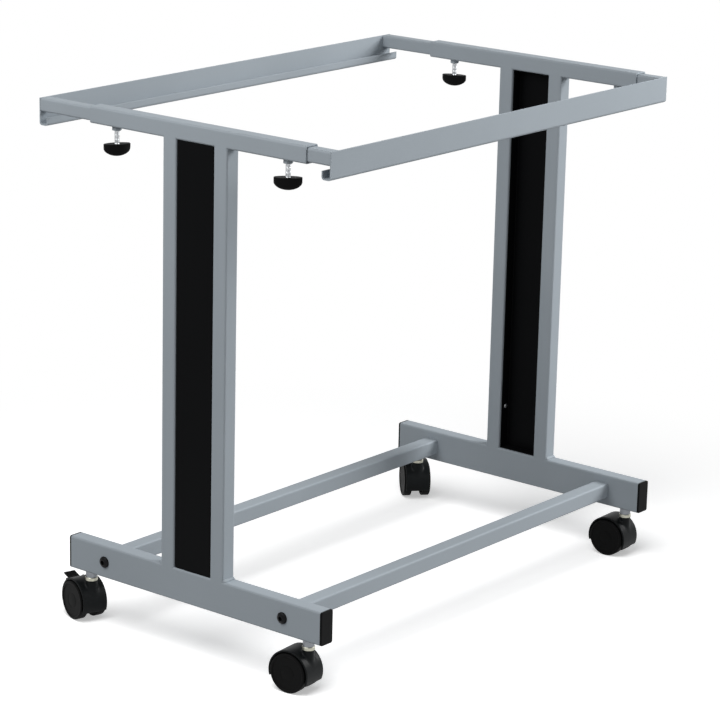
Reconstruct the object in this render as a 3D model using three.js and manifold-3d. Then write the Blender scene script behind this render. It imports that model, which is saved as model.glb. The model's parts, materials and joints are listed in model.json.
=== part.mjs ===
// Mobile file cart. Two end frames of square tube stand on twin-wheel casters and are tied together by
// two stretchers. A pair of folded rails lies along the top, each an open channel for hooks. Each rail
// has two arms that slide in the frames' top sleeves, where wing screws clamp them at any width.
//
// Millimetres, +Z up, +X to the right of the near end frame, +Y from the near end to the far end.
// Origin: on the floor, under the middle of the cart's bounding box.

import * as THREE from 'three';
import { mergeVertices } from 'three/addons/utils/BufferGeometryUtils.js';
import Module from 'manifold-3d';

const wasm = await Module();
wasm.setup();

// Whole cart
const CART_LENGTH = 653; // over the outer faces of the two feet
const CART_HEIGHT = 628; // floor to the top of the sleeves
const TUBE_WALL = 1.5;
const TUBE_CORNER = 2.5; // outer corner radius of every tube
const FIT = 0.3; // clearance round pins, plugs and other pieces that fit inside one another
const SAME_POINT = 1e-4; // corners closer than this are one corner

// End frames
const FOOT_HEIGHT = 40;
const FOOT_DEPTH = 20;
const COLUMN_SIZE = 20;
const COLUMN_GAP = 56; // clear width between the two columns of a frame, filled by the panel
const SLEEVE_LENGTH = 321;
const SLEEVE_SIZE = 20;

// Folded panel between the columns
const PANEL_SHEET = 1.2;
const PANEL_SETBACK = 1.5; // panel face behind the columns' outer faces
const PANEL_FLANGE = 15;
const PANEL_BEND = 2.2; // outer bend radius

// Plastic caps in the foot ends
const CAP_FLANGE = 2.5;
const CAP_BEVEL = 0.8;
const CAP_PLUG_DEPTH = 14;
const CAP_PLUG_WALL = 2;
const CAP_RIB = 1;
const CAP_RIB_HEIGHT = 0.9;
const CAP_RIB_COUNT = 2;

// Stretchers, with the threaded plug in each end and the bolt that pulls it to the foot
const STRETCHER_SIZE = 20;
const STRETCHER_SPACING = 276; // between the two stretchers' centre lines
const PLUG_LENGTH = 16;
const BOLT_DIAMETER = 8;
const BOLT_HEAD_DIAMETER = 13;
const BOLT_HEAD_HEIGHT = 4;
const BOLT_HEAD_EDGE = 1; // straight rim under the head's dome
const BOLT_SOCKET = 5; // across the flats of the hexagon
const BOLT_SOCKET_DEPTH = 2.4;
const BOLT_REACH = 14; // bolt length inside the stretcher

// Hanging rails: a sheet folded into a J, open at the top, with its lip towards the cart's middle
const RAIL_SHEET = 1.5;
const RAIL_WALL_HEIGHT = 32;
const RAIL_WIDTH = 13; // wall to lip, outside
const RAIL_LIP_HEIGHT = 10;
const RAIL_BEND = 3.5; // outer bend radius
const LEFT_DRAW = 81; // how far each rail stands out from the sleeve ends
const RIGHT_DRAW = 32;
const ARM_CLEARANCE = 0.5; // round the arm inside its sleeve
const ARM_PARTING = 8; // left between the two arms in one sleeve when both are pushed home

// Clamp screws under the sleeves
const CLAMP_INSET = 33; // screw axis from the sleeve's end
const SCREW_DIAMETER = 6;
const SCREW_SHOWING = 15.3; // bare screw between the nut and the knob
const SCREW_IN_KNOB = 8;
const SCREW_TIP = 0.8; // chamfer on the tip
const NUT_WIDTH = 10; // across flats
const NUT_HEIGHT = 5;
const KNOB_WIDTH = 32;
const KNOB_DEPTH = 14;
const KNOB_HEIGHT = 14;
const KNOB_RIM = 4.5; // upright edge under the flat top

// Casters
const CASTER_HEIGHT = 64; // floor to the underside of the foot
const CASTER_SPACING = 338; // between the two stems of a frame
const CASTER_TRAIL = 17; // stem axis to axle
const WHEEL_DIAMETER = 47;
const WHEEL_WIDTH = 10.4;
const WHEEL_GAP = 15; // between the two wheels
const WHEEL_RIM = 3; // thickness of the rim
const WHEEL_DISC = 2.4; // thickness of the outer disc
const WHEEL_SHOULDER = 1.6; // rounding of the tread's edges
const WHEEL_DISH = 0.8; // how far the disc lies below its rim
const WHEEL_HUB_DIAMETER = 13;
const WHEEL_RUN_GAP = 0.4; // between the hood's web and each turning wheel
const AXLE_DIAMETER = 6;
const HOOD_SHEET = 2.2;
const HOOD_WIDTH = 32;
const HOOD_GAP = 1; // between the tread and the hood
const HOOD_FRONT = -24; // degrees: where the hood ends below the stem
const HOOD_REAR = 197; // degrees: where it ends behind the wheels
const BOSS_DIAMETER = 14;
const BOSS_TOP = 51.5; // above the floor
const AXLE_BOSS_DIAMETER = 18;
const STEM_PIN_DIAMETER = 8;
const STEM_PIN_LENGTH = 26;
const STEM_COLLAR_DIAMETER = 15;
const STEM_THREAD_DIAMETER = 10;
const STEM_THREAD_LENGTH = 16;
const STEM_NUT_SIZE = 14;
const STEM_NUT_HEIGHT = 7;
const STEM_NUT_TO_PLUG = 3; // free length of foot between the weld nut and the end cap's plug

// Brake levers on the two left-hand casters
const BRAKE_ANGLE = 140; // degrees round the axle, from the front over the top
const BRAKE_BARREL_DIAMETER = 4.4;
const BRAKE_WIDTH = 19; // barrel and shoe
const BRAKE_TAB_WIDTH = 15;
const BRAKE_TAB_LENGTH = 16;
const BRAKE_TAB_THICKNESS = 2;
const BRAKE_TAB_ANGLE = 165; // degrees: released, the tab points back and a little up
const BRAKE_LIFT = 0.8; // barrel above the tread's clearance
const BRAKE_TRAVEL = 22; // degrees from released to locked
const BRAKE_PIN_DIAMETER = 2;
const BRAKE_LUG_DIAMETER = 6;
const BRAKE_LUG_WIDTH = 2;
const BRAKE_SHOE_THICKNESS = 2;
const BRAKE_SHOE_GAP = 0.15; // left between shoe and tread when the brake is locked

// How the loose pieces stand: degrees about their upright axes
const KNOB_TURN = { near_left: 62, near_right: 38, far_left: 20, far_right: -30 };
const CASTER_TURN = { near_left: -16, near_right: 5, far_left: -42, far_right: 2 };
const BRAKED = ['near_left', 'far_left'];

// Number of sides on the round pieces
const WHEEL_SIDES = 20;
const HEAD_SIDES = 16;
const PIN_SIDES = 12;

// Levels and lines that follow from the sizes above
const FOOT_LENGTH = CASTER_SPACING + STEM_NUT_SIZE + 2 * (STEM_NUT_TO_PLUG + CAP_PLUG_DEPTH);
const FOOT_TOP = CASTER_HEIGHT + FOOT_HEIGHT;
const FOOT_MIDDLE = CASTER_HEIGHT + FOOT_HEIGHT / 2;
const SLEEVE_BOTTOM = CART_HEIGHT - SLEEVE_SIZE;
const FRAME_LINE = CART_LENGTH / 2 - FOOT_DEPTH / 2; // middle of an end frame, along Y
const ARM_SIZE = SLEEVE_SIZE - 2 * (TUBE_WALL + ARM_CLEARANCE);
const ARM_LENGTH = SLEEVE_LENGTH / 2 - ARM_PARTING / 2;
const RAIL_TOP = CART_HEIGHT - TUBE_WALL - ARM_CLEARANCE;
const RAIL_LENGTH = 2 * FRAME_LINE + ARM_SIZE;
const WHEEL_CORNER_RADIUS = WHEEL_DIAMETER / 2 / Math.cos(Math.PI / WHEEL_SIDES);
const AXLE_HEIGHT = WHEEL_DIAMETER / 2; // the wheels stand on the flat of one tread facet
const HOOD_INSIDE = WHEEL_CORNER_RADIUS + HOOD_GAP;
const HOOD_OUTSIDE = HOOD_INSIDE + HOOD_SHEET;
const WEB_WIDTH = WHEEL_GAP - 2 * WHEEL_RUN_GAP;
const BRAKE_RADIUS = HOOD_INSIDE + BRAKE_LIFT + BRAKE_BARREL_DIAMETER / 2;

// Finishes
function finish(color, roughness, metalness) {
  return new THREE.MeshStandardMaterial({ color, roughness, metalness });
}
const FRAME_PAINT = finish(0x9aa2aa, 0.45, 0.3);
const BLACK_PAINT = finish(0x17181a, 0.5, 0.1);
const BLACK_PLASTIC = finish(0x1b1c1e, 0.55, 0);
const WHEEL_PLASTIC = finish(0x242527, 0.6, 0);
const ZINC = finish(0xc4c6c6, 0.35, 0.9);

const radians = THREE.MathUtils.degToRad;
const degrees = THREE.MathUtils.radToDeg;

// Solids: three.js geometry in, closed solids for joining and cutting, geometry out

function solid(geometry) {
  const bare = geometry.clone();
  bare.deleteAttribute('normal');
  bare.deleteAttribute('uv');
  const merged = mergeVertices(bare, SAME_POINT);
  const corners = merged.index.array;
  const triangles = [];
  for (let i = 0; i < corners.length; i += 3) {
    const [a, b, c] = corners.slice(i, i + 3);
    if (a !== b && b !== c && c !== a) triangles.push(a, b, c);
  }
  return new wasm.Manifold(new wasm.Mesh({
    numProp: 3,
    vertProperties: new Float32Array(merged.attributes.position.array),
    triVerts: new Uint32Array(triangles),
  }));
}

function geometryOf(body) {
  const mesh = body.getMesh();
  const geometry = new THREE.BufferGeometry();
  geometry.setAttribute('position', new THREE.BufferAttribute(mesh.vertProperties, 3));
  geometry.setIndex(new THREE.BufferAttribute(mesh.triVerts, 1));
  geometry.computeVertexNormals();
  return geometry;
}

// A named piece in a group, with its place
function place(group, name, body, material, x = 0, y = 0, z = 0) {
  const mesh = new THREE.Mesh(geometryOf(body), material);
  mesh.name = name;
  mesh.position.set(x, y, z);
  group.add(mesh);
}

// Basic forms, centred on the origin unless a place is given

function block(width, depth, height, x = 0, y = 0, z = 0) {
  return solid(new THREE.BoxGeometry(width, depth, height).translate(x, y, z));
}

// Round rod along Z from one level to another
function rod(diameter, from, to, sides = PIN_SIDES, x = 0, y = 0) {
  const geometry = new THREE.CylinderGeometry(diameter / 2, diameter / 2, to - from, sides);
  return solid(geometry.rotateX(Math.PI / 2).translate(x, y, (from + to) / 2));
}

// Round rod along Y, centred on the middle plane
function crossRod(diameter, length, sides = PIN_SIDES, x = 0, z = 0) {
  return solid(new THREE.CylinderGeometry(diameter / 2, diameter / 2, length, sides).translate(x, 0, z));
}

// Six-sided prism along Y, measured across its flats
function hexagonGeometry(acrossFlats, length) {
  const radius = acrossFlats / 2 / Math.cos(Math.PI / 6);
  return new THREE.CylinderGeometry(radius, radius, length, 6);
}

// Outline in the XZ plane given a width along Y, centred on the middle plane
function plate(shape, width, segments = 6) {
  const geometry = new THREE.ExtrudeGeometry(shape, {
    depth: width, bevelEnabled: false, curveSegments: segments,
  });
  return solid(geometry.translate(0, 0, -width / 2).rotateX(Math.PI / 2));
}

function roundedRectangle(width, height, radius, Outline = THREE.Shape) {
  const x = width / 2 - radius;
  const y = height / 2 - radius;
  const outline = new Outline();
  outline.absarc(x, y, radius, 0, Math.PI / 2);
  outline.absarc(-x, y, radius, Math.PI / 2, Math.PI);
  outline.absarc(-x, -y, radius, Math.PI, 1.5 * Math.PI);
  outline.absarc(x, -y, radius, 1.5 * Math.PI, 2 * Math.PI);
  return outline;
}

// Hollow section along Z, centred
function tubeGeometry(width, height, length) {
  const section = roundedRectangle(width, height, TUBE_CORNER);
  const inside = roundedRectangle(
    width - 2 * TUBE_WALL, height - 2 * TUBE_WALL, TUBE_CORNER - TUBE_WALL, THREE.Path,
  );
  section.holes.push(inside);
  const geometry = new THREE.ExtrudeGeometry(section, {
    depth: length, bevelEnabled: false, curveSegments: 2,
  });
  return geometry.translate(0, 0, -length / 2);
}

function tubeAlongX(depth, height, length) {
  return solid(tubeGeometry(height, depth, length).rotateY(Math.PI / 2));
}

function tubeAlongY(width, height, length) {
  return solid(tubeGeometry(width, height, length).rotateX(Math.PI / 2));
}

function tubeAlongZ(width, depth, length) {
  return solid(tubeGeometry(width, depth, length));
}

// Foot of an end frame: a flat-standing tube with through holes for the stretcher bolts and, over each
// caster, a square weld nut inside on the bottom wall. The frame's middle line is y = 0.
function footTube() {
  let foot = tubeAlongX(FOOT_DEPTH, FOOT_HEIGHT, FOOT_LENGTH);
  const floor = TUBE_WALL - FOOT_HEIGHT / 2;
  for (const side of [-1, 1]) {
    const stemX = side * CASTER_SPACING / 2;
    const boltX = side * STRETCHER_SPACING / 2;
    foot = foot.add(block(
      STEM_NUT_SIZE, STEM_NUT_SIZE, STEM_NUT_HEIGHT, stemX, 0, floor + STEM_NUT_HEIGHT / 2,
    ));
    foot = foot.subtract(rod(
      STEM_THREAD_DIAMETER + 2 * FIT, -FOOT_HEIGHT, floor + 2 * STEM_NUT_HEIGHT, PIN_SIDES, stemX,
    ));
    foot = foot.subtract(crossRod(BOLT_DIAMETER + 2 * FIT, 2 * FOOT_DEPTH, PIN_SIDES, boltX));
  }
  return foot;
}

// Moulded cap: a bevelled flange over the tube's end and a hollow ribbed plug inside it, along -X
function footCap() {
  const flange = new THREE.ExtrudeGeometry(
    roundedRectangle(FOOT_HEIGHT - 2 * CAP_BEVEL, FOOT_DEPTH - 2 * CAP_BEVEL, TUBE_CORNER - CAP_BEVEL),
    {
      depth: CAP_FLANGE - 2 * CAP_BEVEL,
      curveSegments: 1,
      bevelSize: CAP_BEVEL,
      bevelThickness: CAP_BEVEL,
      bevelSegments: 1,
    },
  );
  let cap = solid(flange.translate(0, 0, CAP_BEVEL).rotateY(Math.PI / 2));
  const ribDepth = FOOT_DEPTH - 2 * (TUBE_WALL + FIT);
  const ribHeight = FOOT_HEIGHT - 2 * (TUBE_WALL + FIT);
  const plugDepth = ribDepth - 2 * CAP_RIB_HEIGHT;
  const plugHeight = ribHeight - 2 * CAP_RIB_HEIGHT;
  const corner = TUBE_CORNER - TUBE_WALL;
  const bar = (height, depth, from, to) => solid(
    new THREE.ExtrudeGeometry(roundedRectangle(height, depth, corner), {
      depth: to - from, bevelEnabled: false, curveSegments: 1,
    }).translate(0, 0, from).rotateY(Math.PI / 2),
  );
  cap = cap.add(bar(plugHeight, plugDepth, -CAP_PLUG_DEPTH, CAP_FLANGE / 2));
  const step = CAP_PLUG_DEPTH / (CAP_RIB_COUNT + 1);
  for (let i = 1; i <= CAP_RIB_COUNT; i += 1) {
    cap = cap.add(bar(ribHeight, ribDepth, -i * step - CAP_RIB, -i * step));
  }
  const hollow = bar(
    plugHeight - 2 * CAP_PLUG_WALL, plugDepth - 2 * CAP_PLUG_WALL, -2 * CAP_PLUG_DEPTH, 0,
  );
  return cap.subtract(hollow);
}

// Panel of an end frame: sheet folded into a shallow tray. Its face is on the -Y side, its flanges
// lie on the columns, the foot and the sleeve.
function columnPanel(height) {
  const half = COLUMN_GAP / 2;
  const inner = half - PANEL_SHEET;
  const bend = PANEL_BEND;
  const innerBend = PANEL_BEND - PANEL_SHEET;
  const section = new THREE.Shape();
  section.moveTo(-half, PANEL_FLANGE);
  section.absarc(-half + bend, bend, bend, Math.PI, 1.5 * Math.PI);
  section.absarc(half - bend, bend, bend, 1.5 * Math.PI, 2 * Math.PI);
  section.lineTo(half, PANEL_FLANGE);
  section.lineTo(inner, PANEL_FLANGE);
  section.absarc(inner - innerBend, PANEL_SHEET + innerBend, innerBend, 0, -Math.PI / 2, true);
  section.absarc(-inner + innerBend, PANEL_SHEET + innerBend, innerBend, -Math.PI / 2, -Math.PI, true);
  section.lineTo(-inner, PANEL_FLANGE);
  const channel = new THREE.ExtrudeGeometry(section, {
    depth: height, bevelEnabled: false, curveSegments: 2,
  });
  let panel = solid(channel);
  const reach = PANEL_FLANGE - PANEL_BEND;
  for (const level of [PANEL_SHEET / 2, height - PANEL_SHEET / 2]) {
    panel = panel.add(block(2 * inner + PANEL_SHEET, reach, PANEL_SHEET, 0, PANEL_BEND + reach / 2, level));
    panel = panel.add(block(
      2 * inner - PANEL_BEND, PANEL_BEND, PANEL_SHEET, 0, PANEL_SHEET / 2 + PANEL_BEND / 2, level,
    ));
  }
  return panel;
}

// Top sleeve of an end frame, with a hexagon nut welded under each end for the clamp screw
function sleeveTube() {
  let sleeve = tubeAlongX(SLEEVE_SIZE, SLEEVE_SIZE, SLEEVE_LENGTH);
  const underside = -SLEEVE_SIZE / 2;
  for (const side of [-1, 1]) {
    const clampX = side * (SLEEVE_LENGTH / 2 - CLAMP_INSET);
    const nutLength = NUT_HEIGHT + TUBE_WALL / 2;
    const nut = hexagonGeometry(NUT_WIDTH, nutLength).rotateX(Math.PI / 2);
    sleeve = sleeve.add(solid(nut.translate(clampX, 0, underside - NUT_HEIGHT + nutLength / 2)));
    sleeve = sleeve.subtract(rod(
      SCREW_DIAMETER + 2 * FIT, underside - 2 * NUT_HEIGHT, underside + 2 * TUBE_WALL, PIN_SIDES, clampX,
    ));
  }
  return sleeve;
}

// Threaded plug in a stretcher's end, along Y
function stretcherPlug() {
  const size = STRETCHER_SIZE - 2 * (TUBE_WALL + FIT);
  return block(size, PLUG_LENGTH, size).subtract(crossRod(BOLT_DIAMETER + 2 * FIT, 2 * PLUG_LENGTH));
}

// Button-head bolt with a hexagon socket. The head's seat is y = 0, the head is on the -Y side.
function stretcherBolt() {
  const head = BOLT_HEAD_DIAMETER / 2;
  const shank = BOLT_DIAMETER / 2;
  const length = FOOT_DEPTH + BOLT_REACH;
  const rise = BOLT_HEAD_HEIGHT - BOLT_HEAD_EDGE;
  const onDome = (angle) => [
    head * Math.cos(radians(angle)), -BOLT_HEAD_EDGE - rise * Math.sin(radians(angle)),
  ];
  const profile = [
    [0, length], [shank - SCREW_TIP, length], [shank, length - SCREW_TIP], [shank, 0], [head, 0],
    onDome(0), onDome(30), onDome(60), [0, -BOLT_HEAD_HEIGHT],
  ].map(([radius, along]) => new THREE.Vector2(radius, along)).reverse();
  const bolt = solid(new THREE.LatheGeometry(profile, HEAD_SIDES));
  const socket = hexagonGeometry(BOLT_SOCKET, 2 * BOLT_SOCKET_DEPTH);
  return bolt.subtract(solid(socket.translate(0, -BOLT_HEAD_HEIGHT, 0)));
}

// Hanging rail: wall outwards (-X here), rounded trough, lip inwards. It lies along Y, its wall's
// inner face is x = 0 and its top z = 0.
function railProfile() {
  const outer = -RAIL_SHEET;
  const lip = RAIL_WIDTH - RAIL_SHEET;
  const bottom = -RAIL_WALL_HEIGHT;
  const lipTop = bottom + RAIL_LIP_HEIGHT;
  const innerBend = RAIL_BEND - RAIL_SHEET;
  const section = new THREE.Shape();
  section.moveTo(outer, 0);
  section.absarc(outer + RAIL_BEND, bottom + RAIL_BEND, RAIL_BEND, Math.PI, 1.5 * Math.PI);
  section.absarc(lip - RAIL_BEND, bottom + RAIL_BEND, RAIL_BEND, 1.5 * Math.PI, 2 * Math.PI);
  section.lineTo(lip, lipTop);
  section.lineTo(lip - RAIL_SHEET, lipTop);
  section.absarc(lip - RAIL_BEND, bottom + RAIL_BEND, innerBend, 0, -Math.PI / 2, true);
  section.absarc(outer + RAIL_BEND, bottom + RAIL_BEND, innerBend, -Math.PI / 2, -Math.PI, true);
  section.lineTo(0, 0);
  return plate(section, RAIL_LENGTH, 3);
}

// Clamp screw along Z: z = 0 is its end in the knob
function clampScrew() {
  const radius = SCREW_DIAMETER / 2;
  const length = SCREW_IN_KNOB + SCREW_SHOWING + NUT_HEIGHT + TUBE_WALL + ARM_CLEARANCE - FIT;
  const profile = [
    [0, 0], [radius, 0], [radius, length - SCREW_TIP], [radius - SCREW_TIP, length], [0, length],
  ].map(([across, along]) => new THREE.Vector2(across, along));
  return solid(new THREE.LatheGeometry(profile, PIN_SIDES).rotateX(Math.PI / 2));
}

// Wing knob: a half-moon under an upright rim from the front and a pointed oval from above, bored for
// the screw. Its flat top is z = 0.
function clampKnob() {
  const front = new THREE.Shape();
  front.moveTo(-KNOB_WIDTH / 2, 0);
  front.absellipse(0, -KNOB_RIM, KNOB_WIDTH / 2, KNOB_HEIGHT - KNOB_RIM, Math.PI, 2 * Math.PI);
  front.lineTo(KNOB_WIDTH / 2, 0);
  const oval = new THREE.Shape();
  oval.absellipse(0, 0, KNOB_WIDTH / 2, KNOB_DEPTH / 2, 0, 2 * Math.PI);
  const fromAbove = new THREE.ExtrudeGeometry(oval, {
    depth: 2 * KNOB_HEIGHT, bevelEnabled: false, curveSegments: 10,
  });
  const pointedOval = solid(fromAbove.translate(0, 0, -1.5 * KNOB_HEIGHT));
  const wing = plate(front, 2 * KNOB_DEPTH, 5).intersect(pointedOval);
  return wing.subtract(rod(SCREW_DIAMETER + 2 * FIT, -SCREW_IN_KNOB, KNOB_HEIGHT));
}

// Stem of a caster: thread in the foot, collar under it, pin in the hood's boss. Fixed to the foot.
function casterStem() {
  const seat = BOSS_TOP + FIT;
  const collar = rod(STEM_COLLAR_DIAMETER, seat, CASTER_HEIGHT, HEAD_SIDES);
  const thread = rod(STEM_THREAD_DIAMETER, CASTER_HEIGHT - FIT, CASTER_HEIGHT + STEM_THREAD_LENGTH);
  const pin = rod(STEM_PIN_DIAMETER, seat - STEM_PIN_LENGTH, seat + FIT);
  return collar.add(thread).add(pin);
}

// Place on a circle round the axle, in a caster's own frame: stem axis at x = 0, wheels towards -X
function roundAxle(radius, angle) {
  return {
    x: -CASTER_TRAIL + radius * Math.cos(radians(angle)),
    z: AXLE_HEIGHT + radius * Math.sin(radians(angle)),
  };
}

// Part of a ring round the axle between two angles, as wide as given
function ringSector(inside, outside, from, to, width) {
  const sector = new THREE.Shape();
  sector.absarc(-CASTER_TRAIL, AXLE_HEIGHT, outside, radians(from), radians(to));
  sector.absarc(-CASTER_TRAIL, AXLE_HEIGHT, inside, radians(to), radians(from), true);
  return plate(sector, width, 8);
}

// Hood of a caster: a mudguard over both wheels, a web between them that holds the axle, and a boss
// for the stem. A braked one has a slot and two lugs for the lever.
function casterHood(braked) {
  let hood = ringSector(HOOD_INSIDE, HOOD_OUTSIDE, HOOD_FRONT, HOOD_REAR, HOOD_WIDTH);
  const web = new THREE.Shape();
  const webRadius = HOOD_INSIDE + HOOD_SHEET / 2;
  const bossRadius = AXLE_BOSS_DIAMETER / 2;
  const front = radians(HOOD_FRONT);
  const rear = radians(HOOD_REAR);
  web.absarc(-CASTER_TRAIL, AXLE_HEIGHT, webRadius, front, rear);
  web.absarc(-CASTER_TRAIL, AXLE_HEIGHT, bossRadius, rear, front + 2 * Math.PI);
  hood = hood.add(plate(web, WEB_WIDTH, 8));
  const underHood = crossRod(2 * webRadius, 2 * HOOD_WIDTH, WHEEL_SIDES, -CASTER_TRAIL, AXLE_HEIGHT);
  hood = hood.add(rod(BOSS_DIAMETER, AXLE_HEIGHT, BOSS_TOP, HEAD_SIDES).subtract(underHood));
  const pinEnd = BOSS_TOP + FIT - STEM_PIN_LENGTH;
  hood = hood.subtract(rod(STEM_PIN_DIAMETER + 2 * FIT, pinEnd - FIT, 2 * BOSS_TOP));
  const axleBore = AXLE_DIAMETER + 2 * FIT;
  hood = hood.subtract(crossRod(axleBore, 2 * HOOD_WIDTH, PIN_SIDES, -CASTER_TRAIL, AXLE_HEIGHT));
  return braked ? withBrakeSeat(hood) : hood;
}

// Slot through the hood for the brake lever, between two lugs that hold its pin
function withBrakeSeat(hood) {
  const pivot = roundAxle(BRAKE_RADIUS, BRAKE_ANGLE);
  const slotWidth = BRAKE_WIDTH + 2 * FIT;
  const lugs = crossRod(
    BRAKE_LUG_DIAMETER, slotWidth + 2 * BRAKE_LUG_WIDTH, HEAD_SIDES, pivot.x, pivot.z,
  ).subtract(ringSector(0, HOOD_INSIDE, 0, HOOD_REAR, HOOD_WIDTH));
  const slotReach = degrees((BRAKE_BARREL_DIAMETER / 2 + BRAKE_LIFT + FIT) / HOOD_INSIDE);
  const slot = ringSector(
    HOOD_INSIDE - BRAKE_LUG_DIAMETER, HOOD_OUTSIDE + BRAKE_LUG_DIAMETER,
    BRAKE_ANGLE - slotReach, BRAKE_ANGLE + slotReach, slotWidth,
  );
  const pinHole = crossRod(BRAKE_PIN_DIAMETER + 2 * FIT, 2 * HOOD_WIDTH, PIN_SIDES, pivot.x, pivot.z);
  return hood.add(lugs).subtract(slot).subtract(pinHole);
}

// Brake lever, released: a barrel on its pin, a foot tab, and a shoe that meets the treads when the
// tab is pressed down
function brakeLever() {
  const pivot = roundAxle(BRAKE_RADIUS, BRAKE_ANGLE);
  const spoke = (length, width, thickness, angle) => {
    const bar = new THREE.BoxGeometry(length, width, thickness).translate(length / 2, 0, 0);
    return solid(bar.rotateY(-radians(angle)).translate(pivot.x, 0, pivot.z));
  };
  const shoeReach = BRAKE_RADIUS - WHEEL_CORNER_RADIUS - BRAKE_SHOE_GAP;
  const shoeAngle = BRAKE_ANGLE + 180 - BRAKE_TRAVEL;
  return crossRod(BRAKE_BARREL_DIAMETER, BRAKE_WIDTH, PIN_SIDES, pivot.x, pivot.z)
    .add(spoke(BRAKE_TAB_LENGTH, BRAKE_TAB_WIDTH, BRAKE_TAB_THICKNESS, BRAKE_TAB_ANGLE))
    .add(spoke(shoeReach, BRAKE_WIDTH, BRAKE_SHOE_THICKNESS, shoeAngle))
    .add(crossRod(BRAKE_PIN_DIAMETER, BRAKE_WIDTH + 2 * BRAKE_LUG_WIDTH, PIN_SIDES, pivot.x, pivot.z));
}

// Cup-shaped wheel about its axle along Y: open towards the web, closed disc outside. The rim's inner
// face is y = 0.
function casterWheel() {
  const tread = WHEEL_CORNER_RADIUS;
  const rim = tread - WHEEL_RIM;
  const bore = AXLE_DIAMETER / 2 + FIT;
  const hub = WHEEL_HUB_DIAMETER / 2;
  const discInside = WHEEL_WIDTH - WHEEL_DISC;
  const discOutside = WHEEL_WIDTH - WHEEL_DISH;
  const profile = [
    [0, (discInside + discOutside) / 2], [bore, (discInside + discOutside) / 2], [bore, 0], [hub, 0],
    [hub, discInside], [rim, discInside], [rim, 0], [tread, 0], [tread, WHEEL_WIDTH - WHEEL_SHOULDER],
    [tread - WHEEL_SHOULDER, WHEEL_WIDTH], [rim, WHEEL_WIDTH], [rim - WHEEL_DISH, discOutside],
    [0, discOutside],
  ].map(([radius, along]) => new THREE.Vector2(radius, along));
  return solid(new THREE.LatheGeometry(profile, WHEEL_SIDES, Math.PI / WHEEL_SIDES));
}

// Sub-assemblies

// One end frame. Outwards is -Y for the near frame and +Y for the far one.
function endFrame(end, outward) {
  const frame = new THREE.Group();
  frame.position.y = outward * FRAME_LINE;
  const columnHeight = SLEEVE_BOTTOM - FOOT_TOP;
  const columnX = (COLUMN_GAP + COLUMN_SIZE) / 2;
  place(frame, `${end}_foot_tube`, footTube(), FRAME_PAINT, 0, 0, FOOT_MIDDLE);
  place(frame, `${end}_sleeve_tube`, sleeveTube(), FRAME_PAINT, 0, 0, SLEEVE_BOTTOM + SLEEVE_SIZE / 2);
  for (const [name, side] of [['left', -1], ['right', 1]]) {
    const column = tubeAlongZ(COLUMN_SIZE, COLUMN_SIZE, columnHeight);
    const columnMiddle = FOOT_TOP + columnHeight / 2;
    place(frame, `${end}_${name}_column`, column, FRAME_PAINT, side * columnX, 0, columnMiddle);
    const capHolder = new THREE.Group();
    capHolder.position.set(side * FOOT_LENGTH / 2, 0, FOOT_MIDDLE);
    capHolder.rotation.z = side > 0 ? 0 : Math.PI;
    place(capHolder, `${end}_${name}_foot_cap`, footCap(), BLACK_PLASTIC);
    frame.add(capHolder);
    place(frame, `${end}_${name}_caster_stem`, casterStem(), ZINC, side * CASTER_SPACING / 2);
  }
  const panelHolder = new THREE.Group();
  panelHolder.position.set(0, outward * (COLUMN_SIZE / 2 - PANEL_SETBACK), FOOT_TOP);
  panelHolder.rotation.z = outward < 0 ? 0 : Math.PI;
  place(panelHolder, `${end}_column_panel`, columnPanel(columnHeight), BLACK_PAINT);
  frame.add(panelHolder);
  return frame;
}

// One stretcher with its plugs and bolts
function stretcher(name, side) {
  const group = new THREE.Group();
  group.position.set(side * STRETCHER_SPACING / 2, 0, FOOT_MIDDLE);
  const footInside = FRAME_LINE - FOOT_DEPTH / 2;
  const tube = tubeAlongY(STRETCHER_SIZE, STRETCHER_SIZE, 2 * footInside);
  place(group, `${name}_stretcher`, tube, FRAME_PAINT);
  for (const [end, outward] of [['near', -1], ['far', 1]]) {
    const plugY = outward * (footInside - PLUG_LENGTH / 2);
    place(group, `${end}_${name}_stretcher_plug`, stretcherPlug(), ZINC, 0, plugY);
    const boltHolder = new THREE.Group();
    boltHolder.position.y = outward * (FRAME_LINE + FOOT_DEPTH / 2);
    boltHolder.rotation.z = outward < 0 ? 0 : Math.PI;
    place(boltHolder, `${end}_${name}_stretcher_bolt`, stretcherBolt(), BLACK_PAINT);
    group.add(boltHolder);
  }
  return group;
}

// One hanging rail with its two arms, drawn out by a given amount
function hangingRail(name, side, draw) {
  const group = new THREE.Group();
  group.position.set(side * (SLEEVE_LENGTH / 2 + draw), 0, RAIL_TOP);
  const turned = new THREE.Group();
  turned.rotation.z = side < 0 ? 0 : Math.PI;
  place(turned, `${name}_rail`, railProfile(), FRAME_PAINT);
  group.add(turned);
  for (const [end, outward] of [['near', -1], ['far', 1]]) {
    const arm = tubeAlongX(ARM_SIZE, ARM_SIZE, ARM_LENGTH);
    const armX = -side * ARM_LENGTH / 2;
    place(group, `${name}_rail_${end}_arm`, arm, FRAME_PAINT, armX, outward * FRAME_LINE, -ARM_SIZE / 2);
  }
  return group;
}

// One clamp: screw and knob under a sleeve's end
function clamp(corner, side, outward) {
  const group = new THREE.Group();
  const knobTop = SLEEVE_BOTTOM - NUT_HEIGHT - SCREW_SHOWING;
  group.position.set(side * (SLEEVE_LENGTH / 2 - CLAMP_INSET), outward * FRAME_LINE, knobTop);
  group.rotation.z = radians(KNOB_TURN[corner]);
  place(group, `${corner}_clamp_screw`, clampScrew(), ZINC, 0, 0, -SCREW_IN_KNOB);
  place(group, `${corner}_clamp_knob`, clampKnob(), BLACK_PLASTIC);
  return group;
}

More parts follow.
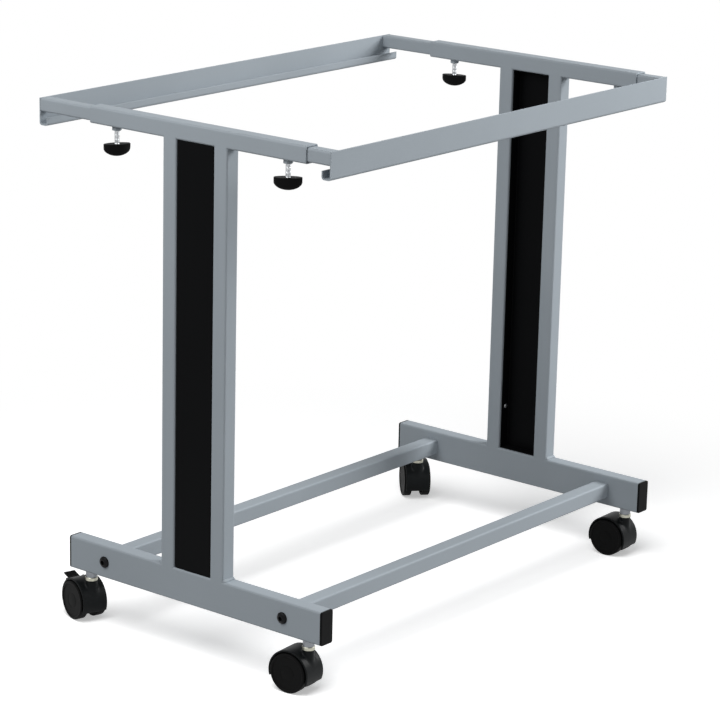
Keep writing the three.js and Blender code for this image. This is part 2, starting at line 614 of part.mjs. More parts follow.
// One caster below its stem
function caster(corner, side, outward) {
  const group = new THREE.Group();
  const braked = BRAKED.includes(corner);
  group.position.set(side * CASTER_SPACING / 2, outward * FRAME_LINE, 0);
  group.rotation.z = radians(CASTER_TURN[corner]);
  place(group, `${corner}_caster_hood`, casterHood(braked), BLACK_PLASTIC);
  const discInside = WHEEL_WIDTH - WHEEL_DISC;
  const axle = crossRod(AXLE_DIAMETER, WHEEL_GAP + 2 * discInside);
  place(group, `${corner}_caster_axle`, axle, ZINC, -CASTER_TRAIL, 0, AXLE_HEIGHT);
  for (const [letter, turn, out] of [['a', Math.PI, -1], ['b', 0, 1]]) {
    const holder = new THREE.Group();
    holder.position.set(-CASTER_TRAIL, out * WHEEL_GAP / 2, AXLE_HEIGHT);
    holder.rotation.z = turn;
    place(holder, `${corner}_caster_wheel_${letter}`, casterWheel(), WHEEL_PLASTIC);
    group.add(holder);
  }
  if (braked) place(group, `${corner}_brake_lever`, brakeLever(), BLACK_PLASTIC);
  return group;
}

// Whole cart

const cart = new THREE.Group();
for (const [end, outward] of [['near', -1], ['far', 1]]) {
  cart.add(endFrame(end, outward));
  for (const [name, side] of [['left', -1], ['right', 1]]) {
    cart.add(clamp(`${end}_${name}`, side, outward));
    cart.add(caster(`${end}_${name}`, side, outward));
  }
}
for (const [name, side, draw] of [['left', -1, LEFT_DRAW], ['right', 1, RIGHT_DRAW]]) {
  cart.add(stretcher(name, side));
  cart.add(hangingRail(name, side, draw));
}

// The origin goes under the middle of the box that the cart fills
cart.updateMatrixWorld(true);
const filled = new THREE.Box3().setFromObject(cart, true);
const middle = filled.getCenter(new THREE.Vector3());
cart.position.set(-middle.x, -middle.y, -filled.min.z);

export default cart;
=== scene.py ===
# %% [markdown]
# # Dressing a mobile file cart
# The solids of the cart are already packed: they hold its sizes, its joints and its place on the floor.
# This script loads them as a fixed frame, builds a finer piece over each one, and sets a small studio
# around the cart. Camera and light come first, because no finish can be judged before they are right.

import json
import math

import bmesh
import bpy
from mathutils import Matrix, Quaternion, Vector


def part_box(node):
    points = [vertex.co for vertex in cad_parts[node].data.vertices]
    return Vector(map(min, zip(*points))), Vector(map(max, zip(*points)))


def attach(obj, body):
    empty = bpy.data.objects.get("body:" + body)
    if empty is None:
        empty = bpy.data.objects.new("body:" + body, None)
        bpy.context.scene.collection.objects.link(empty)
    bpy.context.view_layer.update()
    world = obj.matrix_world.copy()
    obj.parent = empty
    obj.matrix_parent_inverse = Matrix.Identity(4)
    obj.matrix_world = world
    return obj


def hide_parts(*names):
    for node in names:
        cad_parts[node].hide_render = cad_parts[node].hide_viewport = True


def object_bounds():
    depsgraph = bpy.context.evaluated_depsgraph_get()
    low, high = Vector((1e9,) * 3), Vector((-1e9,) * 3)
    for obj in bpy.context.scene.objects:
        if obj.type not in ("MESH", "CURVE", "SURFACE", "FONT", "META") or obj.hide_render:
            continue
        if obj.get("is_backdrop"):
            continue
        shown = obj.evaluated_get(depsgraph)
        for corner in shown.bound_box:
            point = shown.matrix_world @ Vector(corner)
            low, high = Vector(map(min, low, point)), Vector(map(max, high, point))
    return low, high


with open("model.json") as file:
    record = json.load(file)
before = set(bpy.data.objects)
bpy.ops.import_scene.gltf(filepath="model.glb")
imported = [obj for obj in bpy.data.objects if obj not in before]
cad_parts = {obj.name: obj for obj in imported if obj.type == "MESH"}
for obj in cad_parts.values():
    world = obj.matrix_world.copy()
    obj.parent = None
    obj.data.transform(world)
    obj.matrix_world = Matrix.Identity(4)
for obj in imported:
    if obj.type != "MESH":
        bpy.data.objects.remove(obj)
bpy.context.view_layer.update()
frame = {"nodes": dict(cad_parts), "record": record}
scene = bpy.context.scene

# %% [markdown]
# ## Camera
# A catalogue picture is taken from a distance with a long lens, which keeps upright tubes nearly
# parallel. Place and angles were found by matching the corners of feet, columns and rails to the
# photograph. The picture is also turned by a little over a degree, so the camera has a roll.

# %% Camera at the photograph's view
CAMERA_PLACE = Vector((2.1778, -2.72795, 1.2640))
CAMERA_AZIMUTH = math.radians(38.656)
CAMERA_ELEVATION = math.radians(15.658)
CAMERA_ROLL = math.radians(1.344)
LENS = 147.87
SENSOR_WIDTH = 36

camera_data = bpy.data.cameras.new("camera")
camera_data.sensor_width = SENSOR_WIDTH
camera_data.lens = LENS
camera = bpy.data.objects.new("camera", camera_data)
scene.collection.objects.link(camera)
sight = Vector((
    -math.sin(CAMERA_AZIMUTH) * math.cos(CAMERA_ELEVATION),
    math.cos(CAMERA_AZIMUTH) * math.cos(CAMERA_ELEVATION),
    -math.sin(CAMERA_ELEVATION),
))
level = sight.to_track_quat("-Z", "Y")
camera.location = CAMERA_PLACE
camera.rotation_euler = (level @ Quaternion((0, 0, 1), CAMERA_ROLL)).to_euler()
scene.camera = camera

# %% [markdown]
# ## Node graphs as arithmetic
# Finishes are built from many small nodes, and wiring them by hand is slow to write and to read. This
# class holds one output socket. Adding or multiplying it makes a Math node and returns its output, so a
# formula in the script is the same formula in the node editor. One method makes any other node: its
# settings go first, because they can change which sockets exist, and then values and links.

# %% A shader socket that can be calculated with
class Shade:
    """One output socket of a node tree, or the bare tree when there is no socket yet."""

    def __init__(self, tree, socket=None):
        self.tree = tree
        self.socket = socket

    def node(self, kind, settings=None, inputs=None, output=0):
        """Makes a node with its settings, then sets or links its inputs (a list: several links to one)."""
        made = self.tree.nodes.new(kind)
        for name, value in (settings or {}).items():
            setattr(made, name, value)
        for key, value in (inputs or {}).items():
            for each in value if isinstance(value, list) else [value]:
                if isinstance(each, Shade):
                    self.tree.links.new(each.socket, made.inputs[key])
                else:
                    made.inputs[key].default_value = each
        return Shade(self.tree, made.outputs[output] if made.outputs else None)

    def math(self, operation, first, second):
        return self.node("ShaderNodeMath", {"operation": operation}, {0: first, 1: second})

    def __add__(self, other):
        return self.math("ADD", self, other)

    def __radd__(self, other):
        return self.math("ADD", other, self)

    def __sub__(self, other):
        return self.math("SUBTRACT", self, other)

    def __rsub__(self, other):
        return self.math("SUBTRACT", other, self)

    def __mul__(self, other):
        return self.math("MULTIPLY", self, other)

    def __rmul__(self, other):
        return self.math("MULTIPLY", other, self)

    def __truediv__(self, other):
        return self.math("DIVIDE", self, other)

    def __rtruediv__(self, other):
        return self.math("DIVIDE", other, self)

    def mix(self, first, second):
        """A colour between two others, with this socket as the factor."""
        settings = {"data_type": "RGBA"}
        return self.node("ShaderNodeMix", settings, {0: self, 6: first, 7: second}, 2)

    def stretched(self, x, y, z):
        """This vector with each of its parts multiplied, which stretches a texture."""
        return self.node("ShaderNodeVectorMath", {"operation": "MULTIPLY"}, {0: self, 1: (x, y, z)})

    def noise(self, scale, detail=2.0, roughness=0.5):
        """Clouds of a given fineness at this vector, about 0.5 in the middle."""
        inputs = {"Vector": self, "Scale": scale, "Detail": detail, "Roughness": roughness}
        return self.node("ShaderNodeTexNoise", {"noise_dimensions": "3D"}, inputs)

    def cells(self, scale):
        """Distance to the nearest of many scattered points: small round grains."""
        return self.node("ShaderNodeTexVoronoi", {"feature": "F1"}, {"Vector": self, "Scale": scale})


def new_material(name):
    """A material with an empty node tree, and places on an object in metres as its first Shade."""
    material = bpy.data.materials.new(name)
    material.use_nodes = True
    material.node_tree.nodes.clear()
    return material, Shade(material.node_tree).node("ShaderNodeTexCoord", output="Object")


print("Shade offers", len([word for word in dir(Shade) if not word.startswith("__")]), "named methods")

# %% [markdown]
# ## Floor
# The cart stands on a paper sweep that runs out to white. What the camera sees is not what lights the
# cart: a Light Path node tells the rays apart. Rays from the camera or a mirroring surface meet bright
# paper with a glow of its own, which turns to plain white with distance and keeps only the deeper
# shadows. All other rays meet a greyer paper, so that the background throws no extra light on the cart.

# %% Floor that fades to white
FLOOR_SIZE = 60.0
FLOOR_GLOW = 0.42
BOUNCE_PAPER = (0.33, 0.33, 0.33, 1)
FADE_START = 0.45
FADE_LENGTH = 0.5


def background_rays(graph):
    """1 for a ray that should meet the white background: seen, mirrored or through glass."""
    kinds = ("Is Camera Ray", "Is Glossy Ray", "Is Transmission Ray")
    seen, mirrored, through = [graph.node("ShaderNodeLightPath", output=kind) for kind in kinds]
    return seen + mirrored + through


floor_material, away = new_material("paper_sweep")
distance = away.node("ShaderNodeVectorMath", {"operation": "LENGTH"}, {0: away}, "Value")
fade = away.node("ShaderNodeMapRange", {"interpolation_type": "SMOOTHSTEP"}, {
    "Value": distance, "From Min": FADE_START, "From Max": FADE_START + FADE_LENGTH,
})
fibres = away.noise(140, 4).mix((0.95, 0.95, 0.95, 1), (0.98, 0.98, 0.98, 1))
paper = away.node("ShaderNodeBsdfDiffuse", None, {"Color": fibres})
glow = away.node("ShaderNodeEmission", None, {"Color": (1, 1, 1, 1), "Strength": FLOOR_GLOW})
white = away.node("ShaderNodeEmission", None, {"Color": (1, 1, 1, 1), "Strength": 1.0})
bright_paper = away.node("ShaderNodeAddShader", None, {0: paper, 1: glow})
seen_floor = away.node("ShaderNodeMixShader", None, {0: fade, 1: bright_paper, 2: white})
bounce = away.node("ShaderNodeBsdfDiffuse", None, {"Color": BOUNCE_PAPER})
floor_look = away.node("ShaderNodeMixShader", None, {0: background_rays(away), 1: bounce, 2: seen_floor})
away.node("ShaderNodeOutputMaterial", None, {"Surface": floor_look})

half = FLOOR_SIZE / 2
floor_mesh = bpy.data.meshes.new("floor")
floor_corners = [(-half, -half, 0), (half, -half, 0), (half, half, 0), (-half, half, 0)]
floor_mesh.from_pydata(floor_corners, [], [(0, 1, 2, 3)])
floor_mesh.materials.append(floor_material)
floor = bpy.data.objects.new("floor", floor_mesh)
scene.collection.objects.link(floor)
floor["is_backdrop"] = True
print("floor", FLOOR_SIZE, "m, white from", FADE_START + FADE_LENGTH, "m outwards")

# %% [markdown]
# ## Light
# Faces towards the right are clearly brighter than those towards the front, and both grow brighter
# upwards and to the back. So a soft key light stands behind on the right, a wide one on the right and a
# fill in front. A white sheet facing a light of power P at distance d would render as P / (pi d)^2, which
# gave the first powers. Light linking shares out the work: one more light from above falls on the floor
# alone and draws one soft shadow there, and the others reach the cart alone.

# %% World and area lights
AMBIENT = 0.17
LIGHTS = {
    "floor_light": {"place": (0.4, -1.2, 2.4), "size": 1.8, "power": 62},
    "key": {"place": (1.6, 1.7, 1.6), "size": 1.2, "power": 62},
    "wide": {"place": (3.5, -0.6, 1.4), "size": 2.4, "power": 16},
    "fill": {"place": (-0.4, -1.6, 1.8), "size": 1.2, "power": 24},
}

world = bpy.data.worlds.new("studio")
world.use_nodes = True
world.node_tree.nodes.clear()
graph = Shade(world.node_tree)
even_light = graph.node("ShaderNodeBackground", None, {"Color": (0.97, 0.985, 1, 1), "Strength": AMBIENT})
backdrop = graph.node("ShaderNodeBackground", None, {"Color": (1, 1, 1, 1), "Strength": 1.0})
sky = graph.node("ShaderNodeMixShader", None, {0: background_rays(graph), 1: even_light, 2: backdrop})
graph.node("ShaderNodeOutputWorld", None, {"Surface": sky})
scene.world = world
scene.view_settings.view_transform = "Standard"

AIM = Vector((0, 0, 0.32))


def floor_group(state):
    """Collection that makes the floor all that a light reaches, or the one thing that it leaves out."""
    group = bpy.data.collections.new("floor_" + state.lower())
    group.objects.link(floor)
    group.collection_objects[0].light_linking.link_state = state
    return group


only_floor = floor_group("INCLUDE")
off_floor = floor_group("EXCLUDE")
for name, wanted in LIGHTS.items():
    light_data = bpy.data.lights.new(name, "AREA")
    light_data.shape = "SQUARE"
    light_data.size = wanted["size"]
    light_data.energy = wanted["power"]
    light = bpy.data.objects.new(name, light_data)
    light.location = wanted["place"]
    light.rotation_euler = (AIM - light.location).to_track_quat("-Z", "Y").to_euler()
    light.light_linking.receiver_collection = only_floor if name == "floor_light" else off_floor
    scene.collection.objects.link(light)
    print(name, "at", wanted["place"])

# %% [markdown]
# ## Powder coat
# Tubes and rails have a grey powder coat with fine aluminium flakes. Melted powder never flows quite
# flat: it leaves a soft ripple about a millimetre wide, known as orange peel. The ripple goes into a
# Bump node, the flakes tip the colour a little from point to point, and slow clouds keep a long tube
# from looking like one flat colour.

# %% Powder coat
PAINT_GREY = (0.386, 0.430, 0.468)
PANEL_BLACK = (0.0032, 0.0034, 0.0038)


def principled(graph, material, inputs):
    """Ends a material in a Principled shader."""
    surface = graph.node("ShaderNodeBsdfPrincipled", None, inputs)
    graph.node("ShaderNodeOutputMaterial", None, {"Surface": surface})
    return material


def scaled(colour, share):
    """A colour with each channel multiplied, as four values."""
    return tuple(channel * share for channel in colour) + (1,)


def powder_coat(name, colour, flake, metallic, roughness, specular):
    """Sprayed and baked powder: orange peel, flakes and slow clouds."""
    material, place = new_material(name)
    clouds = place.noise(7, 3)
    flakes = place.cells(2600)
    peel = place.noise(850, 1, 0.5)
    tone = clouds * 0.6 + flakes * 0.4
    coat = tone.mix(scaled(colour, 1 - flake), scaled(colour, 1 + flake))
    normal = place.node("ShaderNodeBump", None, {"Strength": 0.3, "Distance": 0.00003, "Height": peel})
    return principled(place, material, {
        "Base Color": coat, "Metallic": metallic, "Roughness": roughness + peel * 0.12,
        "Specular IOR Level": specular, "Normal": normal,
    })


frame_paint = powder_coat(
    "silver_grey_powder_coat", PAINT_GREY, flake=0.12, metallic=0.04, roughness=0.5, specular=0.03,
)
black_paint = powder_coat(
    "black_powder_coat", PANEL_BLACK, flake=0.25, metallic=0.0, roughness=0.42, specular=0.03,
)
print("powder coats:", frame_paint.name, "and", black_paint.name)

# %% [markdown]
# ## Moulded plastic
# Caps, knobs and brake levers are black nylon from a spark-eroded mould, which leaves a fine even grain.
# The hoods come from a smoother mould and shine more, and the wheels are the dullest of the three. Cells
# of a Voronoi texture make the grain, and larger clouds vary the shine as handling and flow lines do.

# %% Moulded plastic
def moulded(name, colour, roughness, specular, grain, grain_depth):
    """Injection-moulded plastic with a grain of a given fineness and depth in metres."""
    material, place = new_material(name)
    pits = place.cells(grain)
    flow = place.stretched(1, 1, 2.5).noise(38, 4, 0.6)
    tone = flow.mix(scaled(colour, 0.82), scaled(colour, 1.18))
    normal = place.node("ShaderNodeBump", None, {"Strength": 0.3, "Distance": grain_depth, "Height": pits})
    shine = roughness - 0.06 + flow * 0.12
    return principled(place, material, {
        "Base Color": tone, "Roughness": shine, "Specular IOR Level": specular, "Normal": normal,
    })


grained_plastic = moulded(
    "grained_black_plastic", (0.0050, 0.0051, 0.0053),
    roughness=0.5, specular=0.05, grain=1900, grain_depth=0.00005,
)
hood_plastic = moulded(
    "glossy_black_plastic", (0.0068, 0.0080, 0.0086),
    roughness=0.4, specular=0.08, grain=1200, grain_depth=0.000012,
)
wheel_plastic = moulded(
    "matt_wheel_plastic", (0.0032, 0.0033, 0.0034),
    roughness=0.56, specular=0.06, grain=1500, grain_depth=0.00005,
)
print("plastics:", grained_plastic.name, hood_plastic.name, wheel_plastic.name)

# %% [markdown]
# ## Plated and blackened steel
# Screws are zinc plated: a bright metal with a faint blue cast and fine marks from rolling and turning.
# The marks are noise squeezed along the upright axis, so that they run round an upright screw. On caster
# stems the plating has gone dull, apart from a brighter, yellowish lip below a given level. Stretcher
# bolts are blackened steel, a dark metal with an oily, uneven shine.

# %% Plated and blackened steel
LIP_LEVEL = 0.0562


def bare_metal(name, dark, light, roughness, squeeze):
    """Metal with fine marks across the upright axis and uneven shine."""
    material, place = new_material(name)
    marks = place.stretched(1, 1, squeeze).noise(420, 3, 0.65)
    stains = place.noise(160, 2)
    tone = (marks * 0.5 + stains * 0.5).mix(dark, light)
    normal = place.node("ShaderNodeBump", None, {"Strength": 0.25, "Distance": 0.00002, "Height": marks})
    return principled(place, material, {
        "Base Color": tone, "Metallic": 1.0, "Roughness": roughness + stains * 0.16, "Normal": normal,
    })


def stem_metal(name, lip_top):
    """Dulled plating on a stem's neck, and a brighter, yellowish lip below a level in metres."""
    material, place = new_material(name)
    level = place.node("ShaderNodeSeparateXYZ", None, {0: place}, "Z")
    stains = place.noise(180, 3)
    neck = stains.mix((0.13, 0.14, 0.155, 1), (0.24, 0.25, 0.265, 1))
    lip = stains.mix((0.30, 0.30, 0.25, 1), (0.46, 0.45, 0.38, 1))
    tone = level.math("GREATER_THAN", level, lip_top).mix(lip, neck)
    return principled(place, material, {
        "Base Color": tone, "Metallic": 1.0, "Roughness": 0.3 + stains * 0.16,
    })


zinc = bare_metal(
    "zinc_plating", (0.42, 0.44, 0.46, 1), (0.66, 0.67, 0.68, 1), roughness=0.24, squeeze=6,
)
stem_zinc = stem_metal("dulled_zinc", LIP_LEVEL)
black_oxide = bare_metal(
    "black_oxide", (0.005, 0.005, 0.0055, 1), (0.016, 0.016, 0.017, 1), roughness=0.36, squeeze=1,
)
FINISHES = {
    "frame_paint": frame_paint, "black_panel": black_paint, "black_plastic": grained_plastic,
    "wheel_plastic": wheel_plastic, "zinc_steel": zinc, "black_steel": black_oxide,
}
print("finishes for", len(FINISHES), "material slots")

# %% [markdown]
# ## From points to pieces
# Almost every piece here is a skin over a row of rings: a tube, a turned pin and a folded sheet differ
# only in their rings. The skin is made with bmesh, in millimetres. A piece is finished in one place:
# doubles are merged, normals recalculated, edges sharper than an angle kept crisp, and a Weighted Normal
# modifier lets large flat faces stay flat next to small roundings. The piece then takes the place of its
# solid and moves with that solid's body.

# %% Rings, skins and finished pieces
MM = 0.001
SAME_POINT = 0.002
CRISP_ANGLE = math.radians(38)
BODY_OF = {
    node: body for body, nodes in frame["record"]["behaviour"]["bodies"].items() for node in nodes
}
SLOT_OF = {part["node"]: part["material_slot"] for part in frame["record"]["subparts"]}


def box_mm(node):
    """Lowest and highest corner of a solid, in millimetres."""
    low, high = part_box(node)
    return low / MM, high / MM


def arc(centre, radius, start, end, steps=6):
    """Points on a circle between two angles in degrees."""
    turns = [math.radians(start + (end - start) * i / steps) for i in range(steps + 1)]
    return [(centre[0] + radius * math.cos(turn), centre[1] + radius * math.sin(turn)) for turn in turns]


def skin(bm, rings, capped=False):
    """Joins each ring of points to the next. A ring of one point is a tip."""
    rows = [[bm.verts.new(point) for point in ring] for ring in rings]
    for near, far in zip(rows, rows[1:]):
        count = max(len(near), len(far))
        for i in range(count):
            j = (i + 1) % count
            corners = [near[i % len(near)], near[j % len(near)], far[j % len(far)], far[i % len(far)]]
            bm.faces.new(list(dict.fromkeys(corners)))
    if capped:
        bm.faces.new(rows[0])
        bm.faces.new(rows[-1])


def tidy(bm):
    """Merges doubled points, drops faces without area and turns all faces outwards."""
    bmesh.ops.remove_doubles(bm, verts=bm.verts, dist=SAME_POINT)
    bmesh.ops.dissolve_degenerate(bm, edges=bm.edges, dist=SAME_POINT)
    bmesh.ops.recalc_face_normals(bm, faces=bm.faces)


def soften(bm, width, steps=2, angle=50):
    """Rounds each edge that is sharper than an angle, as a mould or a press leaves it."""
    tidy(bm)
    sharp = [e for e in bm.edges if e.is_manifold and e.calc_face_angle() > math.radians(angle)]
    bmesh.ops.bevel(
        bm, geom=sharp, offset=width, segments=steps, profile=0.5, affect="EDGES", clamp_overlap=True,
    )


def link_piece(name, mesh, body, material):
    """Shows a mesh as a piece that moves with a body."""
    mesh.materials.clear()
    mesh.materials.append(material)
    mesh.shade_smooth()
    mesh.set_sharp_from_angle(angle=CRISP_ANGLE)
    piece = bpy.data.objects.new(name, mesh)
    scene.collection.objects.link(piece)
    even = piece.modifiers.new("even_faces", "WEIGHTED_NORMAL")
    even.keep_sharp = True
    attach(piece, body)
    return piece


def as_mesh(bm, name):
    """A tidied bmesh in millimetres as a mesh in metres."""
    tidy(bm)
    bm.transform(Matrix.Scale(MM, 4))
    mesh = bpy.data.meshes.new(name)
    bm.to_mesh(mesh)
    bm.free()
    return mesh


def join(bm, part):
    """Adds one bmesh to another and frees it."""
    shape = bpy.data.meshes.new("part")
    part.to_mesh(shape)
    part.free()
    bm.from_mesh(shape)
    bpy.data.meshes.remove(shape)


def add_piece(bm, node, material=None):
    """Turns a bmesh in millimetres into the piece that stands for a solid."""
    slot = SLOT_OF[node]
    shape = as_mesh(bm, node + "_shape")
    piece = link_piece(node + "_dressed", shape, BODY_OF[node], material or FINISHES[slot])
    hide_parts(node)
    return piece


print("pieces take their finish from", len(set(SLOT_OF.values())), "slots")

# %% [markdown]
# ## Square tubes
# Feet, columns, sleeves, stretchers and rail arms are cold-formed tube, 1.5 mm in the wall. Their corners
# are round because the strip was bent, and a saw leaves a small broken edge at each end. A tube is six
# rings: the broken edge, the full section, the same at the other end, and the bore on the way back.
# Columns are welded in, and their outer walls run on over the round corners of foot and sleeve. The
# other two walls end inside the wall that they meet, which keeps the sleeve's bore free.

# %% Square tubes
TUBE_WALL = 1.5
TUBE_CORNER = 2.5
SMALLEST_CORNER = 0.8
BROKEN_EDGE = 0.25
COPED_END = 1.4
ENDS = ("near", "far")
SIDES = ("left", "right")
CORNERS = [f"{end}_{side}" for end in ENDS for side in SIDES]


def rounded_rectangle(width, height, radius):
    x = width / 2 - radius
    y = height / 2 - radius
    quarters = ((x, y, 0), (-x, y, 90), (-x, -y, 180), (x, -y, 270))
    return [p for cx, cy, turn in quarters for p in arc((cx, cy), radius, turn, turn + 90)]


def section(low, high, axis, along, inset):
    """Ring of a tube at one place along its axis, a little smaller by an inset."""
    across = [k for k in range(3) if k != axis]
    middle = (low + high) / 2
    width, height = ((high - low)[k] - 2 * inset for k in across)
    ring = []
    for offsets in rounded_rectangle(width, height, max(TUBE_CORNER - inset, SMALLEST_CORNER)):
        point = Vector((0, 0, 0))
        point[axis] = along
        for k, offset in zip(across, offsets):
            point[k] = middle[k] + offset
        ring.append(point)
    return ring


def tube(bm, low, high, axis, edge=BROKEN_EDGE):
    """Hollow section that fills a box along one axis."""
    start, end = low[axis], high[axis]
    steps = (
        (start, edge), (start + edge, 0), (end - edge, 0), (end, edge),
        (end, TUBE_WALL), (start, TUBE_WALL), (start, edge),
    )
    skin(bm, [section(low, high, axis, along, inset) for along, inset in steps])


TUBES = {f"{end}_foot_tube": 0 for end in ENDS}
TUBES.update({f"{side}_stretcher": 1 for side in SIDES})
TUBES.update({f"{side}_rail_{end}_arm": 0 for side in SIDES for end in ENDS})
for node, axis in TUBES.items():
    bm = bmesh.new()
    tube(bm, *box_mm(node), axis)
    add_piece(bm, node)
for corner in CORNERS:
    node = f"{corner}_column"
    low, high = box_mm(node)
    middle = (low.y + high.y) / 2
    outer_wall = (high.y - low.y) / 2 - TUBE_WALL
    into_corner = Vector((0, 0, TUBE_CORNER))
    bm = bmesh.new()
    tube(bm, low - into_corner, high + into_corner, 2, 0)
    for point in bm.verts:
        if abs(point.co.y - middle) < outer_wall + SAME_POINT:
            point.co.z = min(max(point.co.z, low.z - COPED_END), high.z + COPED_END)
    add_piece(bm, node)
print(len(TUBES), "plain tubes and", len(CORNERS), "columns")

# %% [markdown]
# ## Sleeves with weld nuts
# The top tube of each frame is a sleeve. Under each end sits a hexagon nut, welded on before painting,
# and the clamp screw passes through it and through the wall. A Boolean modifier drills both at once. Its
# result is taken back as plain geometry and the drill is deleted.

# %% Sleeves with weld nuts
SLEEVE_SIZE = 20
NUT_RADIUS = 10 / 2 / math.cos(math.pi / 6)
NUT_CHAMFER = 0.6
DRILL_RADIUS = 3.3
DRILL_LENGTH = 8
DRILL_SIDES = 32
NUT_SIDES = 6


def circle(radius, level, centre=(0, 0), sides=48):
    """Level ring of points round an upright axis."""
    turns = [2 * math.pi * i / sides for i in range(sides)]
    return [
        Vector((centre[0] + radius * math.cos(t), centre[1] + radius * math.sin(t), level)) for t in turns
    ]


def drilled(bm, drills):
    """A bmesh with other closed ones cut out of it. They are used up, and a new one comes back."""
    body = bpy.data.objects.new("blank", as_mesh(bm, "blank"))
    tools = [bpy.data.objects.new("drill", as_mesh(drill, "drill")) for drill in drills]
    scene.collection.objects.link(body)
    for tool in tools:
        scene.collection.objects.link(tool)
        cut = body.modifiers.new("cut", "BOOLEAN")
        cut.operation = "DIFFERENCE"
        cut.solver = "EXACT"
        cut.use_self = True
        cut.object = tool
    evaluated = body.evaluated_get(bpy.context.evaluated_depsgraph_get())
    result = bmesh.new()
    result.from_mesh(bpy.data.meshes.new_from_object(evaluated))
    result.transform(Matrix.Scale(1 / MM, 4))
    for thing in [body, *tools]:
        bpy.data.objects.remove(thing)
    return result


def upright_drill(centre, radius, low, high):
    """Closed cylinder for drilling."""
    bm = bmesh.new()
    skin(bm, [circle(radius, level, centre, DRILL_SIDES) for level in (low, high)], capped=True)
    return bm


def axis_of(node):
    """Where the upright axis of a round or two-winged solid meets the floor, in millimetres."""
    low, high = box_mm(node)
    return (low.x + high.x) / 2, (low.y + high.y) / 2


for end in ENDS:
    node = f"{end}_sleeve_tube"
    low, high = box_mm(node)
    underside = high.z - SLEEVE_SIZE
    bm = bmesh.new()
    tube(bm, Vector((low.x, low.y, underside)), high, 0)
    clamps = [axis_of(f"{end}_{side}_clamp_screw") for side in SIDES]
    for centre in clamps:
        skin(bm, [
            circle(NUT_RADIUS - NUT_CHAMFER, low.z, centre, NUT_SIDES),
            circle(NUT_RADIUS, low.z + NUT_CHAMFER, centre, NUT_SIDES),
            circle(NUT_RADIUS, underside + TUBE_WALL / 2, centre, NUT_SIDES),
        ], capped=True)
    drills = [upright_drill(c, DRILL_RADIUS, low.z - 1, low.z - 1 + DRILL_LENGTH) for c in clamps]
    sleeve = add_piece(drilled(bm, drills), node)
    print(sleeve.name, len(sleeve.data.polygons), "faces")

# %% [markdown]
# ## Rails
# Each hanging rail is one strip of sheet folded to a J: a tall wall outside, a round trough, and a low
# lip inside on which hooks hang. A press brake leaves a bend with an inner and an outer radius, and the
# free edges are slightly rounded so that they don't cut. One outline is drawn once and used for both
# rails, mirrored for the right one.

# %% Rails
RAIL_SHEET = 1.5
RAIL_WALL = 32
RAIL_WIDTH = 13
RAIL_LIP = 10
RAIL_BEND = 3.5
SHEET_EDGE = 0.45


def rail_outline():
    """J section: x from the wall's inner face towards the lip, z down from the top."""
    lip = RAIL_WIDTH - RAIL_SHEET
    bottom = -RAIL_WALL
    lip_top = bottom + RAIL_LIP
    bend = bottom + RAIL_BEND
    inner = RAIL_BEND - RAIL_SHEET
    edge = SHEET_EDGE
    left_bend = (RAIL_BEND - RAIL_SHEET, bend)
    right_bend = (lip - RAIL_BEND, bend)
    return (
        arc((-RAIL_SHEET + edge, -edge), edge, 90, 180, 3)
        + arc(left_bend, RAIL_BEND, 180, 270) + arc(right_bend, RAIL_BEND, 270, 360)
        + arc((lip - edge, lip_top - edge), edge, 0, 90, 3)
        + arc((lip - RAIL_SHEET + edge, lip_top - edge), edge, 90, 180, 3)
        + arc(right_bend, inner, 360, 270) + arc(left_bend, inner, 270, 180)
        + arc((-edge, -edge), edge, 0, 90, 3)
    )


for side, mirror in (("left", 1), ("right", -1)):
    node = f"{side}_rail"
    low, high = box_mm(node)
    wall = low.x + RAIL_SHEET if mirror > 0 else high.x - RAIL_SHEET
    bm = bmesh.new()
    skin(bm, [
        [Vector((wall + mirror * x, along, high.z + z)) for x, z in rail_outline()]
        for along in (low.y, high.y)
    ], capped=True)
    rail = add_piece(bm, node)
    print(rail.name, len(rail.data.polygons), "faces")

# %% [markdown]
# ## Column panels
# The black panel of each frame is a shallow tray: a face with four flanges folded back. The two long
# flanges and the face are one folded section. The short flanges fit between them, with a small notch at
# each corner where a press brake needs room. Seen from inside, the tray is open.

# %% Column panels
PANEL_SHEET = 1.2
PANEL_BEND = 2.2
PANEL_EDGE = 0.2
NOTCH = 0.7


def box_rings(low, high):
    """Two rings of a plain block, bottom and top."""
    corners = [(low.x, low.y), (high.x, low.y), (high.x, high.y), (low.x, high.y)]
    return [[Vector((x, y, z)) for x, y in corners] for z in (low.z, high.z)]


for end, outward in (("near", -1), ("far", 1)):
    node = f"{end}_column_panel"
    low, high = box_mm(node)
    face = low.y if outward < 0 else high.y
    depth = high.y - low.y
    half = (high.x - low.x) / 2
    middle = (high.x + low.x) / 2
    inner = half - PANEL_SHEET
    bend = half - PANEL_BEND
    tight = PANEL_BEND - PANEL_SHEET
    outline = (
        [(-half, depth)] + arc((-bend, PANEL_BEND), PANEL_BEND, 180, 270)
        + arc((bend, PANEL_BEND), PANEL_BEND, 270, 360) + [(half, depth), (inner, depth)]
        + arc((bend, PANEL_BEND), tight, 360, 270) + arc((-bend, PANEL_BEND), tight, 270, 180)
        + [(-inner, depth)]
    )
    bm = bmesh.new()
    skin(bm, [
        [Vector((middle + x, face - outward * y, z)) for x, y in outline] for z in (low.z, high.z)
    ], capped=True)
    soften(bm, PANEL_EDGE, 1, 80)
    for level in (low.z, high.z - PANEL_SHEET):
        nearest, farthest = sorted((face - outward * PANEL_SHEET / 2, face - outward * depth))
        flange = bmesh.new()
        skin(flange, box_rings(
            Vector((middle - inner + NOTCH, nearest, level)),
            Vector((middle + inner - NOTCH, farthest, level + PANEL_SHEET)),
        ), capped=True)
        soften(flange, PANEL_EDGE)
        join(bm, flange)
    panel = add_piece(bm, node)
    print(panel.name, len(panel.data.polygons), "faces")

